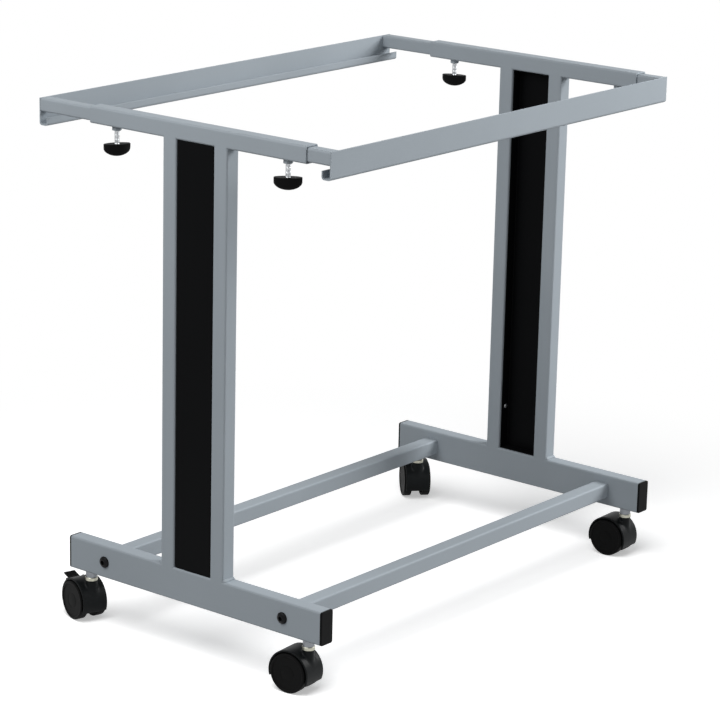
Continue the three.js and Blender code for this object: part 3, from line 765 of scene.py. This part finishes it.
# %% [markdown]
# ## Foot caps
# A plastic cap closes each end of a foot. Only its flange shows: a thin plate with the section of the
# tube and a rounded rim. Behind it a hollow plug holds it in the tube. The flange is a row of rings that
# shrink along a quarter circle, which is how any rounded rim can be made.

# %% Foot caps
CAP_FLANGE = 2.5
CAP_ROUND = 0.9
CAP_DISH = 0.6
PLUG_INSET = 2.7
PLUG_WALL = 2.0

for corner in CORNERS:
    node = f"{corner}_foot_cap"
    low, high = box_mm(node)
    out = -1 if "left" in corner else 1
    tip = low.x if out < 0 else high.x
    root = high.x if out < 0 else low.x
    seat = tip - out * CAP_FLANGE
    bore = PLUG_INSET + PLUG_WALL
    steps = [(seat, bore), (root, bore), (root, PLUG_INSET), (seat, PLUG_INSET), (seat, 0)]
    for inset, rise in arc((CAP_ROUND, 0), CAP_ROUND, 180, 90):
        steps.append((tip - out * (CAP_ROUND - rise), inset))
    steps.append((tip, CAP_ROUND + CAP_DISH))
    bm = bmesh.new()
    skin(bm, [section(low, high, 0, along, inset) for along, inset in steps], capped=True)
    add_piece(bm, node)
print(len(CORNERS), "foot caps")

# %% [markdown]
# ## Turned parts
# Bolts, stems and wheels are round, so each is an outline spun about an axis. Blender has a Screw
# modifier and a Spin tool for this, but with a helper that makes rings, spinning is one line more. The
# bolt head needs one trick: its hexagon socket has as many points as the round rings, so that the skin
# between round and hexagon stays clean.

# %% Stretcher bolts with hexagon sockets
BOLT_HEAD = 6.9
BOLT_HEAD_HEIGHT = 4.0
BOLT_EDGE = 1.0
BOLT_SHANK = 4.0
BOLT_CHAMFER = 0.8
BOLT_BREAK = 0.2
SOCKET_FLAT = 2.5
SOCKET_DEPTH = 2.4
SOCKET_RIM = 3.2
SOCKET_LEAD = 0.15
SOCKET_POINT = 0.4
ROUND_SIDES = 48


def hexagon(flat, level):
    """A hexagon with as many points as a round ring."""
    ring = []
    for i in range(ROUND_SIDES):
        turn = 2 * math.pi * i / ROUND_SIDES
        from_flat = (turn + math.pi / 6) % (math.pi / 3) - math.pi / 6
        radius = flat / math.cos(from_flat)
        ring.append(Vector((radius * math.cos(turn), radius * math.sin(turn), level)))
    return ring


def spin(bm, outline, place=Matrix.Identity(4), sides=ROUND_SIDES, extra=()):
    """Skins an outline of radius and height turned about Z, then more rings, at a place."""
    rings = [
        circle(radius, level, sides=sides) if radius > 0 else [Vector((0, 0, level))]
        for radius, level in outline
    ]
    skin(bm, [[place @ point for point in ring] for ring in [*rings, *extra]])


for corner in CORNERS:
    node = f"{corner}_stretcher_bolt"
    low, high = box_mm(node)
    near = "near" in corner
    tip = low.y if near else high.y
    shank = high.y - low.y - BOLT_HEAD_HEIGHT
    outline = [
        (0, shank), (BOLT_SHANK - BOLT_CHAMFER, shank), (BOLT_SHANK, shank - BOLT_CHAMFER), (BOLT_SHANK, 0),
        (BOLT_HEAD - BOLT_BREAK, 0), (BOLT_HEAD, -BOLT_BREAK),
    ]
    for across, up in arc((0, 0), 1, 0, 60):
        outline.append((BOLT_HEAD * across, -BOLT_EDGE - (BOLT_HEAD_HEIGHT - BOLT_EDGE) * up))
    rim = -BOLT_HEAD_HEIGHT
    floor_level = rim + SOCKET_DEPTH
    socket = [
        circle(SOCKET_RIM, rim), hexagon(SOCKET_FLAT, rim + SOCKET_LEAD),
        hexagon(SOCKET_FLAT, floor_level), [Vector((0, 0, floor_level + SOCKET_POINT))],
    ]
    turned = Matrix.Rotation(math.radians(-90 if near else 90), 4, "X")
    x, z = (low.x + high.x) / 2, (low.z + high.z) / 2
    seat = tip + (BOLT_HEAD_HEIGHT if near else -BOLT_HEAD_HEIGHT)
    bm = bmesh.new()
    spin(bm, outline, Matrix.Translation((x, seat, z)) @ turned, extra=socket)
    add_piece(bm, node)
print(len(CORNERS), "bolts with", ROUND_SIDES, "sides")

# %% [markdown]
# ## Clamp screws and their threads
# A clamp screw is a stud with a rolled thread. The thread is a helix, and a helix is a job for Geometry
# Nodes: a Spiral curve with one turn per pitch, swept with a small three-sided profile by Curve to Mesh.
# The tree has named inputs for length, pitch, radius and height, so it serves any screw. All node trees
# are wired alike, so the class that was written for shaders wires this one too.

# %% Thread tree
THREAD_STEPS = 20
THREAD_SIDES = 3


def geometry_tree(name, labels):
    """A Geometry Nodes tree with named inputs, as a Shade, and those inputs by name."""
    tree = bpy.data.node_groups.new(name, "GeometryNodeTree")
    tree.interface.new_socket("Geometry", in_out="INPUT", socket_type="NodeSocketGeometry")
    tree.interface.new_socket("Geometry", in_out="OUTPUT", socket_type="NodeSocketGeometry")
    for label in labels:
        tree.interface.new_socket(label, in_out="INPUT", socket_type="NodeSocketFloat")
    given = tree.nodes.new("NodeGroupInput").outputs
    return Shade(tree), {label: Shade(tree, given[label]) for label in ("Geometry", *labels)}


def finish_tree(graph, geometry, material):
    """Ends a tree in real geometry with its material, and returns the tree."""
    real = graph.node("GeometryNodeRealizeInstances", None, {"Geometry": geometry})
    dressed = graph.node("GeometryNodeSetMaterial", None, {"Geometry": real, "Material": material})
    graph.node("NodeGroupOutput", None, {"Geometry": dressed})
    return graph.tree


def grown(mesh, tree, values):
    """The mesh that a tree makes from a start mesh and named values."""
    seed = bpy.data.objects.new("seed", mesh)
    scene.collection.objects.link(seed)
    modifier = seed.modifiers.new("grow", "NODES")
    modifier.node_group = tree
    for item in tree.interface.items_tree:
        if item.in_out == "INPUT" and item.name in values:
            modifier[item.identifier] = values[item.name]
    evaluated = seed.evaluated_get(bpy.context.evaluated_depsgraph_get())
    result = bpy.data.meshes.new_from_object(evaluated)
    bpy.data.objects.remove(seed)
    return result


graph, given = geometry_tree("thread", ("Length", "Pitch", "Radius", "Height"))
helix = graph.node("GeometryNodeCurveSpiral", None, {
    "Resolution": THREAD_STEPS, "Rotations": given["Length"] / given["Pitch"], "Height": given["Length"],
    "Start Radius": given["Radius"], "End Radius": given["Radius"],
})
profile = graph.node("GeometryNodeCurvePrimitiveCircle", None, {
    "Resolution": THREAD_SIDES, "Radius": given["Height"],
})
sweep = graph.node("GeometryNodeCurveToMesh", None, {
    "Curve": helix, "Profile Curve": profile, "Fill Caps": True,
})
thread_tree = finish_tree(graph, sweep, zinc)
print("thread tree with", len(thread_tree.nodes), "nodes")

# %% Clamp screws
SCREW_RADIUS = 3.0
SCREW_CORE = 2.6
SCREW_PLAIN = 7.0
PLAIN_INSET = 0.3
RUN_OUT = 0.4
SCREW_TIP = 0.8
THREAD_PITCH = 1.0
THREAD_HEIGHT = 0.42

for corner in CORNERS:
    node = f"{corner}_clamp_screw"
    low, high = box_mm(node)
    place = Matrix.Translation((*axis_of(node), low.z))
    length = high.z - low.z
    plain = SCREW_RADIUS - PLAIN_INSET
    bm = bmesh.new()
    spin(bm, [
        (0, 0), (plain, 0), (plain, SCREW_PLAIN), (SCREW_CORE, SCREW_PLAIN + RUN_OUT),
        (SCREW_CORE, length - SCREW_TIP), (SCREW_CORE - SCREW_TIP, length), (0, length),
    ], place, DRILL_SIDES)
    thread = grown(bpy.data.meshes.new("seed"), thread_tree, {
        "Length": (length - SCREW_PLAIN - RUN_OUT - SCREW_TIP) * MM, "Pitch": THREAD_PITCH * MM,
        "Radius": (SCREW_RADIUS - THREAD_HEIGHT) * MM, "Height": THREAD_HEIGHT * MM,
    })
    thread.transform(place @ Matrix.Translation((0, 0, SCREW_PLAIN)) @ Matrix.Scale(1 / MM, 4))
    bm.from_mesh(thread)
    screw = add_piece(bm, node)
    print(screw.name, len(screw.data.polygons), "faces")

# %% [markdown]
# ## Wing knobs
# The knob is shaped like a small boat: a pointed oval from above, and from the front a half-moon under an
# upright rim. Its rings lie across the boat. Each is a rounded D whose width and depth follow an ellipse,
# and at both ends the rim closes in a blunt upright edge. The screw's bore is drilled into the flat top.

# %% Wing knobs
KNOB_HALF_WIDTH = 16.0
KNOB_HALF_DEPTH = 7.0
KNOB_HEIGHT = 14.0
KNOB_RIM = 4.5
KNOB_SQUARENESS = 0.5
KNOB_FLAT = 0.5
KNOB_STATIONS = 30
KNOB_POINTS = 16
KNOB_BLUNT = 0.06
KNOB_EDGE = 0.6
SCREW_IN_KNOB = 8.0


def knob_ring(x):
    """Section of the knob at one place along its length, from edge to edge and across the flat top."""
    share = math.sqrt(max(0.0, 1 - (x / KNOB_HALF_WIDTH) ** 2))
    depth = KNOB_HALF_DEPTH * share
    below = KNOB_RIM + (KNOB_HEIGHT - KNOB_RIM) * share
    ring = []
    for i in range(KNOB_POINTS + 1):
        turn = math.pi * i / KNOB_POINTS
        y = depth * math.copysign(abs(math.cos(turn)) ** KNOB_SQUARENESS, math.cos(turn))
        ring.append(Vector((x, y, -below * math.sin(turn) ** KNOB_SQUARENESS)))
    return ring + [Vector((x, -depth * KNOB_FLAT, 0)), Vector((x, depth * KNOB_FLAT, 0))]


def widest_turn(node):
    """Angle at which a solid reaches farthest from its upright axis."""
    x, y = axis_of(node)
    points = [(v.co.x / MM - x, v.co.y / MM - y) for v in frame["nodes"][node].data.vertices]
    farthest = max(points, key=lambda p: p[0] ** 2 + p[1] ** 2)
    return math.atan2(farthest[1], farthest[0])


for corner in CORNERS:
    node = f"{corner}_clamp_knob"
    low, high = box_mm(node)
    place = Matrix.Translation((*axis_of(node), high.z)) @ Matrix.Rotation(widest_turn(node), 4, "Z")
    between = (1 - 2 * KNOB_BLUNT) / KNOB_STATIONS
    spread = [KNOB_BLUNT + between * i for i in range(KNOB_STATIONS + 1)]
    bm = bmesh.new()
    skin(bm, [knob_ring(-KNOB_HALF_WIDTH * math.cos(math.pi * share)) for share in spread], capped=True)
    soften(bm, KNOB_EDGE, 3, 40)
    bm.transform(place)
    bore = upright_drill(axis_of(node), DRILL_RADIUS, high.z - SCREW_IN_KNOB, high.z + 1)
    knob = add_piece(drilled(bm, [bore]), node)
    print(knob.name, "turned", round(math.degrees(widest_turn(node))) % 180, "degrees")

# %% [markdown]
# ## Caster stems
# A stem is screwed into the foot, and its collar shows between foot and hood: a plain neck above and a
# wider, brighter lip below. Under the lip a pin turns in the hood. The stem itself stays with the frame.

# %% Caster stems
PIN_RADIUS = 4.0
COLLAR_RADIUS = 7.5
NECK_RADIUS = 6.7
LIP_HEIGHT = 4.2
CASTER_HEIGHT = 64.0
STEM_SEAT = 51.8
THREAD_RADIUS = 5.0
PIN_CHAMFER = 0.6
LIP_EDGE = 0.4
LIP_SLOPE = 0.3
FLARE = 0.4
FLARE_START = 1.4
FLARE_END = 1.2
STEM_CHAMFER = 0.8

for corner in CORNERS:
    node = f"{corner}_caster_stem"
    low, high = box_mm(node)
    lip_top = STEM_SEAT + LIP_HEIGHT
    bm = bmesh.new()
    spin(bm, [
        (0, low.z), (PIN_RADIUS - PIN_CHAMFER, low.z), (PIN_RADIUS, low.z + PIN_CHAMFER),
        (PIN_RADIUS, STEM_SEAT), (COLLAR_RADIUS - LIP_EDGE, STEM_SEAT),
        (COLLAR_RADIUS, STEM_SEAT + LIP_EDGE), (COLLAR_RADIUS, lip_top - LIP_EDGE),
        (COLLAR_RADIUS - LIP_EDGE, lip_top), (NECK_RADIUS, lip_top + LIP_SLOPE),
        (NECK_RADIUS, CASTER_HEIGHT - FLARE_START), (NECK_RADIUS + FLARE, CASTER_HEIGHT - FLARE_END),
        (NECK_RADIUS + FLARE, CASTER_HEIGHT), (THREAD_RADIUS, CASTER_HEIGHT),
        (THREAD_RADIUS, high.z - STEM_CHAMFER), (THREAD_RADIUS - STEM_CHAMFER, high.z), (0, high.z),
    ], Matrix.Translation((*axis_of(node), 0)))
    add_piece(bm, node, stem_zinc)
print(len(CORNERS), "stems, collar", 2 * COLLAR_RADIUS, "mm across")

# %% [markdown]
# ## Caster hoods
# A hood is a curved mudguard over two wheels, with a web between them that carries the axle and a boss
# for the stem that flows into the mudguard. The mudguard is a bent sheet with an outer and an inner
# skin. A braked hood leaves out the cells where the lever goes through. The boss follows the curve
# below it ring by ring, which gives it a soft fillet, and the stem's bore is drilled at the end.

# %% Caster frames and hoods
AXLE_TRAIL = 17.0
AXLE_HEIGHT = 23.5
HOOD_INSIDE = 24.8
HOOD_OUTSIDE = 27.0
HOOD_FRONT = -24
HOOD_REAR = 197
HOOD_HALF = 16.0
HOOD_STEPS = 52
HOOD_EDGE = 0.7
WEB_HALF = 7.1
WEB_RADIUS = 25.9
WEB_STEPS = 40
AXLE_BOSS = 9.0
AXLE_BOSS_STEPS = 20
EYE_REACH = 20
BOSS_RADIUS = 7.0
BOSS_TOP = 51.5
BOSS_EDGE = 0.5
BOSS_FILLET = 2.9
BOSS_ROOT = 25.5
PIN_BORE = 4.3
PIN_END = 25.5
PIN_OVERRUN = 5
BRAKE_ANGLE = 140
BRAKE_RADIUS = 27.793
LEVER_HALF = 9.5
SLOT_HALF = 9.8
SLOT_REACH = 7.6
SLOT_CLEAR = 1.5
SAME_ANGLE = 0.1
LUG_RADIUS = 3.0
LUG_WIDTH = 2.0
BRAKE_BORE = 1.3


def caster_place(corner):
    """Where a caster stands: its stem axis, turned so that the wheels trail towards local -X."""
    stem = Vector((*axis_of(f"{corner}_caster_stem"), 0))
    axle = Vector((*axis_of(f"{corner}_caster_axle"), 0))
    ahead = stem - axle
    return Matrix.Translation(stem) @ Matrix.Rotation(math.atan2(ahead.y, ahead.x), 4, "Z")


def round_axle(radius, angle, y):
    """Point at an angle round the axle, from the front over the top, in a caster's own frame."""
    turn = math.radians(angle)
    return Vector((-AXLE_TRAIL + radius * math.cos(turn), y, AXLE_HEIGHT + radius * math.sin(turn)))


def mudguard(bm, braked):
    """Bent sheet with rounded edges. A braked one has a slot for the lever."""
    angles = [HOOD_FRONT + (HOOD_REAR - HOOD_FRONT) * i / HOOD_STEPS for i in range(HOOD_STEPS + 1)]
    widths = [-HOOD_HALF, -SLOT_HALF, SLOT_HALF, HOOD_HALF]
    slot = (BRAKE_ANGLE - SLOT_REACH, BRAKE_ANGLE + SLOT_REACH)
    if braked:
        angles = sorted([a for a in angles if all(abs(a - s) > SLOT_CLEAR for s in slot)] + list(slot))
    outer = [[bm.verts.new(round_axle(HOOD_OUTSIDE, a, y)) for y in widths] for a in angles]
    inner = [[bm.verts.new(round_axle(HOOD_INSIDE, a, y)) for y in widths] for a in angles]
    cells = {(i, j) for i in range(len(angles) - 1) for j in range(len(widths) - 1)}
    if braked:
        first, last = (angle - SAME_ANGLE for angle in slot)
        cells = {(i, j) for i, j in cells if j != 1 or not first < angles[i] < last}
    for i, j in sorted(cells):
        for grid in (outer, inner):
            bm.faces.new([grid[i][j], grid[i + 1][j], grid[i + 1][j + 1], grid[i][j + 1]])
        for beside, a, b in (
            ((i - 1, j), (i, j), (i, j + 1)), ((i + 1, j), (i + 1, j), (i + 1, j + 1)),
            ((i, j - 1), (i, j), (i + 1, j)), ((i, j + 1), (i, j + 1), (i + 1, j + 1)),
        ):
            if beside not in cells:
                bm.faces.new([outer[a[0]][a[1]], outer[b[0]][b[1]], inner[b[0]][b[1]], inner[a[0]][a[1]]])
    loose = [v for v in bm.verts if not v.link_faces]
    bmesh.ops.delete(bm, geom=loose, context="VERTS")
    soften(bm, HOOD_EDGE, 3, 60)


def on_curve(radius, curve, lift=0.0):
    """Ring round the stem axis on a cylinder round the axle, or a little above but below the boss's rim."""
    ring = circle(radius, 0)
    for point in ring:
        run = point.x + AXLE_TRAIL
        height = AXLE_HEIGHT + math.sqrt(max(0.0, curve ** 2 - run ** 2)) + lift
        point.z = min(height, BOSS_TOP - BOSS_EDGE)
    return ring


def stem_boss(bm):
    """Round boss whose foot flows into the mudguard."""
    rings = [
        [Vector((0, 0, BOSS_TOP))], circle(BOSS_RADIUS - BOSS_EDGE, BOSS_TOP),
        circle(BOSS_RADIUS, BOSS_TOP - BOSS_EDGE),
    ]
    for radius, lift in arc((BOSS_RADIUS + BOSS_FILLET, BOSS_FILLET), BOSS_FILLET, 180, 270, 5):
        rings.append(on_curve(radius, HOOD_OUTSIDE, lift))
    rings += [on_curve(BOSS_RADIUS + BOSS_FILLET, BOSS_ROOT), on_curve(0, BOSS_ROOT)[:1]]
    skin(bm, rings)


def axle_web(bm):
    """Plate between the wheels with a round eye for the axle."""
    above = (HOOD_REAR - HOOD_FRONT) / WEB_STEPS
    below = (360 + HOOD_FRONT - HOOD_REAR) / AXLE_BOSS_STEPS
    outline = [round_axle(WEB_RADIUS, HOOD_FRONT + above * i, 0) for i in range(WEB_STEPS + 1)]
    outline += [round_axle(AXLE_BOSS, HOOD_REAR + below * i, 0) for i in range(AXLE_BOSS_STEPS + 1)]
    skin(bm, [[p + Vector((0, y, 0)) for p in outline] for y in (-WEB_HALF, WEB_HALF)], capped=True)


def turned_across(place, y):
    """Frame for a part turned about a crosswise axis: its own Z points along local +Y."""
    return place @ Matrix.Translation((0, y, 0)) @ Matrix.Rotation(math.radians(-90), 4, "X")


PIVOT = Matrix.Translation(round_axle(BRAKE_RADIUS, BRAKE_ANGLE, 0))
AXLE = Matrix.Translation((-AXLE_TRAIL, 0, AXLE_HEIGHT))
eye_outline = [(0, -EYE_REACH), (DRILL_RADIUS, -EYE_REACH), (DRILL_RADIUS, EYE_REACH), (0, EYE_REACH)]
lug_outline = [(BRAKE_BORE, 0), (LUG_RADIUS, 0), (LUG_RADIUS, LUG_WIDTH), (BRAKE_BORE, LUG_WIDTH)]
for corner in CORNERS:
    node = f"{corner}_caster_hood"
    braked = f"{corner}_brake_lever" in frame["nodes"]
    whole = bmesh.new()
    mudguard(whole, braked)
    for build in (stem_boss, axle_web):
        part = bmesh.new()
        build(part)
        tidy(part)
        join(whole, part)
    bore = upright_drill((0, 0), PIN_BORE, PIN_END, BOSS_TOP + PIN_OVERRUN)
    eye = bmesh.new()
    spin(eye, eye_outline, turned_across(AXLE, 0), DRILL_SIDES)
    bm = drilled(whole, [bore, eye])
    if braked:
        for start in (-SLOT_HALF - LUG_WIDTH, SLOT_HALF):
            spin(bm, lug_outline + lug_outline[:1], turned_across(PIVOT, start), DRILL_SIDES)
    bm.transform(caster_place(corner))
    hood = add_piece(bm, node, hood_plastic)
    print(hood.name, len(hood.data.polygons), "faces", "with a brake slot" if braked else "")

# %% [markdown]
# ## Wheels
# Each wheel is a cup: a rim with rounded tread, a closed disc outside and a hub for the axle inside. The
# disc lies a little below the rim and has a shallow step round its middle, as the ejector plate of a
# mould leaves it. The solid has few sides, and the piece is properly round.

# %% Wheels
TREAD = 23.5
WHEEL_GAP = 15.0
WHEEL_WIDTH = 10.4
RIM = 20.5
HUB = 6.5
SHOULDER = 1.6
DISC_INSIDE = 8.0
DISC_OUTSIDE = 9.6
DISC_STEP = 9.0
WHEEL_SIDES = 72
BORE_END = 0.8
RIM_EDGE = 0.3
RIM_DROP = 0.2
RIM_SLOPE = 0.5
TREAD_EDGE = 0.5
GROOVE_HALF = 0.6
GROOVE_DEPTH = 0.35

wheel_outline = [
    (0, DISC_INSIDE + BORE_END), (DRILL_RADIUS, DISC_INSIDE + BORE_END), (DRILL_RADIUS, 0), (HUB, 0),
    (HUB, DISC_INSIDE), (RIM, DISC_INSIDE),
    (RIM, RIM_EDGE), (RIM + RIM_EDGE, 0), (TREAD - TREAD_EDGE, 0), (TREAD, TREAD_EDGE),
]
wheel_outline += arc((TREAD - SHOULDER, WHEEL_WIDTH - SHOULDER), SHOULDER, 0, 90)
wheel_outline += [
    (RIM + RIM_EDGE, WHEEL_WIDTH), (RIM, WHEEL_WIDTH - RIM_DROP), (RIM - RIM_SLOPE, DISC_OUTSIDE),
    (DISC_STEP + GROOVE_HALF, DISC_OUTSIDE), (DISC_STEP, DISC_OUTSIDE - GROOVE_DEPTH),
    (DISC_STEP - GROOVE_HALF, DISC_OUTSIDE), (0, DISC_OUTSIDE),
]
for corner in CORNERS:
    for letter, side in (("a", -1), ("b", 1)):
        axle = caster_place(corner) @ AXLE
        if side < 0:
            axle = axle @ Matrix.Rotation(math.pi, 4, "Z")
        bm = bmesh.new()
        spin(bm, wheel_outline, turned_across(axle, WHEEL_GAP / 2), WHEEL_SIDES)
        add_piece(bm, f"{corner}_caster_wheel_{letter}")
print(2 * len(CORNERS), "wheels,", 2 * TREAD, "mm across")

# %% [markdown]
# ## Brake levers
# A lever turns on a pin behind the boss. Its tab points up and back, and pressing it with a shoe turns a
# small cam against both treads. Ribs across the tab keep a shoe from slipping. The ribs repeat along the
# tab, so Geometry Nodes place them: a row of points, one rounded bar on each.

# %% Brake levers
TAB_LENGTH = 16.0
TAB_HALF = 7.5
TAB_THICKNESS = 2.0
TAB_ANGLE = 165
SHOE_ANGLE = 298
SHOE_LENGTH = 3.85
SHOE_THICKNESS = 2.0
BARREL_RADIUS = 2.2
LEVER_PIN = 1.0
LEVER_EDGE = 0.6
RIB_COUNT = 5
RIB_PITCH = 1.9
RIB_RADIUS = 0.5
RIB_SIDES = 10
RIB_INSET = 1.0
LAST_RIB = 1.6

graph, given = geometry_tree("ribs", ("Pitch", "Width", "Height"))
step = graph.node("ShaderNodeCombineXYZ", None, {"X": given["Pitch"]})
row = graph.node("GeometryNodeMeshLine", None, {"Count": RIB_COUNT, "Offset": step})
bar = graph.node("GeometryNodeMeshCylinder", None, {
    "Vertices": RIB_SIDES, "Radius": given["Height"], "Depth": given["Width"],
})
lying = graph.node("GeometryNodeTransform", None, {"Geometry": bar, "Rotation": (math.pi / 2, 0, 0)})
put = graph.node("GeometryNodeInstanceOnPoints", None, {"Points": row, "Instance": lying})
rib_tree = finish_tree(graph, put, grained_plastic)


def spoke(bm, length, thickness, half_width, place):
    """Flat bar from the pivot along local X, with rounded edges."""
    part = bmesh.new()
    skin(part, box_rings(
        Vector((0, -half_width, -thickness / 2)), Vector((length, half_width, thickness / 2)),
    ), capped=True)
    soften(part, LEVER_EDGE, 3)
    part.transform(place)
    join(bm, part)


for corner in [c for c in CORNERS if f"{c}_brake_lever" in frame["nodes"]]:
    node = f"{corner}_brake_lever"
    tab = PIVOT @ Matrix.Rotation(math.radians(-TAB_ANGLE), 4, "Y") @ Matrix.Rotation(math.pi, 4, "X")
    shoe = PIVOT @ Matrix.Rotation(math.radians(-SHOE_ANGLE), 4, "Y")
    bm = bmesh.new()
    spoke(bm, TAB_LENGTH, TAB_THICKNESS, TAB_HALF, tab)
    spoke(bm, SHOE_LENGTH, SHOE_THICKNESS, LEVER_HALF, shoe)
    pin_half = LEVER_HALF + LUG_WIDTH
    spin(bm, [
        (0, -pin_half), (LEVER_PIN, -pin_half), (LEVER_PIN, -LEVER_HALF), (BARREL_RADIUS, -LEVER_HALF),
        (BARREL_RADIUS, LEVER_HALF), (LEVER_PIN, LEVER_HALF), (LEVER_PIN, pin_half), (0, pin_half),
    ], turned_across(PIVOT, 0), DRILL_SIDES)
    ribs = grown(bpy.data.meshes.new("seed"), rib_tree, {
        "Pitch": RIB_PITCH * MM, "Width": 2 * (TAB_HALF - RIB_INSET) * MM, "Height": RIB_RADIUS * MM,
    })
    first_rib = TAB_LENGTH - LAST_RIB - (RIB_COUNT - 1) * RIB_PITCH
    on_tab = Matrix.Translation((first_rib, 0, TAB_THICKNESS / 2))
    ribs.transform(tab @ on_tab @ Matrix.Scale(1 / MM, 4))
    bm.from_mesh(ribs)
    bm.transform(caster_place(corner))
    lever = add_piece(bm, node)
    print(lever.name, "with", RIB_COUNT, "ribs")

# %% [markdown]
# ## Weld beads
# Columns are welded to the foot below and to the sleeve above, and the welds above are ground flush. A
# weld is a row of overlapping drops along a seam, smoothed by the paint. Here each seam is one edge of a
# mesh: the tree turns edges into curves, sets points along them at an even pitch, and puts a drop on each.

# %% Weld beads
BEAD_RADIUS = 3.2
BEAD_PITCH = 1.8
SEAM_HALF = 6.5
DROP_SEGMENTS = 8
DROP_RINGS = 6

graph, given = geometry_tree("weld", ("Pitch", "Radius"))
seam = graph.node("GeometryNodeMeshToCurve", None, {"Mesh": given["Geometry"]})
even_points = graph.node("GeometryNodeResampleCurve", {"mode": "LENGTH"}, {
    "Curve": seam, "Length": given["Pitch"],
})
drop = graph.node("GeometryNodeMeshUVSphere", None, {
    "Segments": DROP_SEGMENTS, "Rings": DROP_RINGS, "Radius": given["Radius"],
})
put = graph.node("GeometryNodeInstanceOnPoints", None, {"Points": even_points, "Instance": drop})
weld_tree = finish_tree(graph, put, frame_paint)

ends = []
for corner in CORNERS:
    low, high = box_mm(f"{corner}_column")
    side = low.x if "left" in corner else high.x
    middle = (low.y + high.y) / 2
    ends += [Vector((side, middle + reach, low.z)) * MM for reach in (-SEAM_HALF, SEAM_HALF)]
seams = [(i, i + 1) for i in range(0, len(ends), 2)]
seam_mesh = bpy.data.meshes.new("seams")
seam_mesh.from_pydata(ends, seams, [])
bead_mesh = grown(seam_mesh, weld_tree, {"Pitch": BEAD_PITCH * MM, "Radius": BEAD_RADIUS * MM})
beads = link_piece("weld_beads", bead_mesh, "base", frame_paint)
print(beads.name, "on", len(seams), "seams,", len(beads.data.polygons), "faces")

# %% [markdown]
# ## Panel screws
# Small pan-head screws hold the long flanges of each panel to the columns. They are one tree again: each
# vertex of the start mesh is a place, and a vector stored with it says which way the head faces. The head
# is a low dome on a flat rim.

# %% Panel screws
SCREW_HEAD = 3.0
SCREW_FROM_END = 56.0
HEAD_SIDES = 20
HEAD_RINGS = 10
HEAD_RIM = 1.2
DOME_SHAPE = (0.96, 0.96, 0.34)
DOME_RISE = 0.5

graph, given = geometry_tree("panel_screws", ("Head",))
facing = graph.node("GeometryNodeInputNamedAttribute", {"data_type": "FLOAT_VECTOR"}, {
    "Name": "facing",
}, "Attribute")
aligned = graph.node("FunctionNodeAlignRotationToVector", {"axis": "Z"}, {"Vector": facing})
rim = graph.node("GeometryNodeMeshCylinder", None, {
    "Vertices": HEAD_SIDES, "Radius": given["Head"], "Depth": HEAD_RIM * MM,
})
dome = graph.node("GeometryNodeMeshUVSphere", None, {
    "Segments": HEAD_SIDES, "Rings": HEAD_RINGS, "Radius": given["Head"],
})
low_dome = graph.node("GeometryNodeTransform", None, {
    "Geometry": dome, "Scale": DOME_SHAPE, "Translation": (0, 0, DOME_RISE * MM),
})
head = graph.node("GeometryNodeJoinGeometry", None, {"Geometry": [low_dome, rim]})
put = graph.node("GeometryNodeInstanceOnPoints", None, {
    "Points": given["Geometry"], "Instance": head, "Rotation": aligned,
})
screw_tree = finish_tree(graph, put, zinc)

places = []
for end in ENDS:
    low, high = box_mm(f"{end}_column_panel")
    middle = (low.y + high.y) / 2
    for x, towards in ((low.x + PANEL_SHEET, 1), (high.x - PANEL_SHEET, -1)):
        for z in (low.z + SCREW_FROM_END, high.z - SCREW_FROM_END):
            places.append((Vector((x, middle, z)) * MM, (towards, 0, 0)))
place_mesh = bpy.data.meshes.new("screw_places")
place_mesh.from_pydata([place for place, _ in places], [], [])
direction = place_mesh.attributes.new("facing", "FLOAT_VECTOR", "POINT")
for i, (_, towards) in enumerate(places):
    direction.data[i].vector = towards
head_mesh = grown(place_mesh, screw_tree, {"Head": SCREW_HEAD * MM})
heads = link_piece("panel_screws", head_mesh, "base", zinc)
print(heads.name, len(places), "heads")

# %% [markdown]
# ## Solids that stay
# Axles and the threaded plugs in the stretchers are almost hidden. Their solids stay as they are and only
# take a finish, so that nothing is left with the plain colour it was packed with.

# %% Finish for the solids that stay
for name, solid in frame["nodes"].items():
    solid.data.materials.clear()
    solid.data.materials.append(FINISHES[SLOT_OF[name]])
kept = [name for name in frame["nodes"] if name.endswith(("_axle", "_plug"))]
print(len(kept), "solids kept:", ", ".join(sorted(kept)))

# %% [markdown]
# ## Last measure
# The dressed cart has to stay inside the box of its solids. Its own box is measured here, without the
# floor.

# %% Measure the dressed cart's box
low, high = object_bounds()
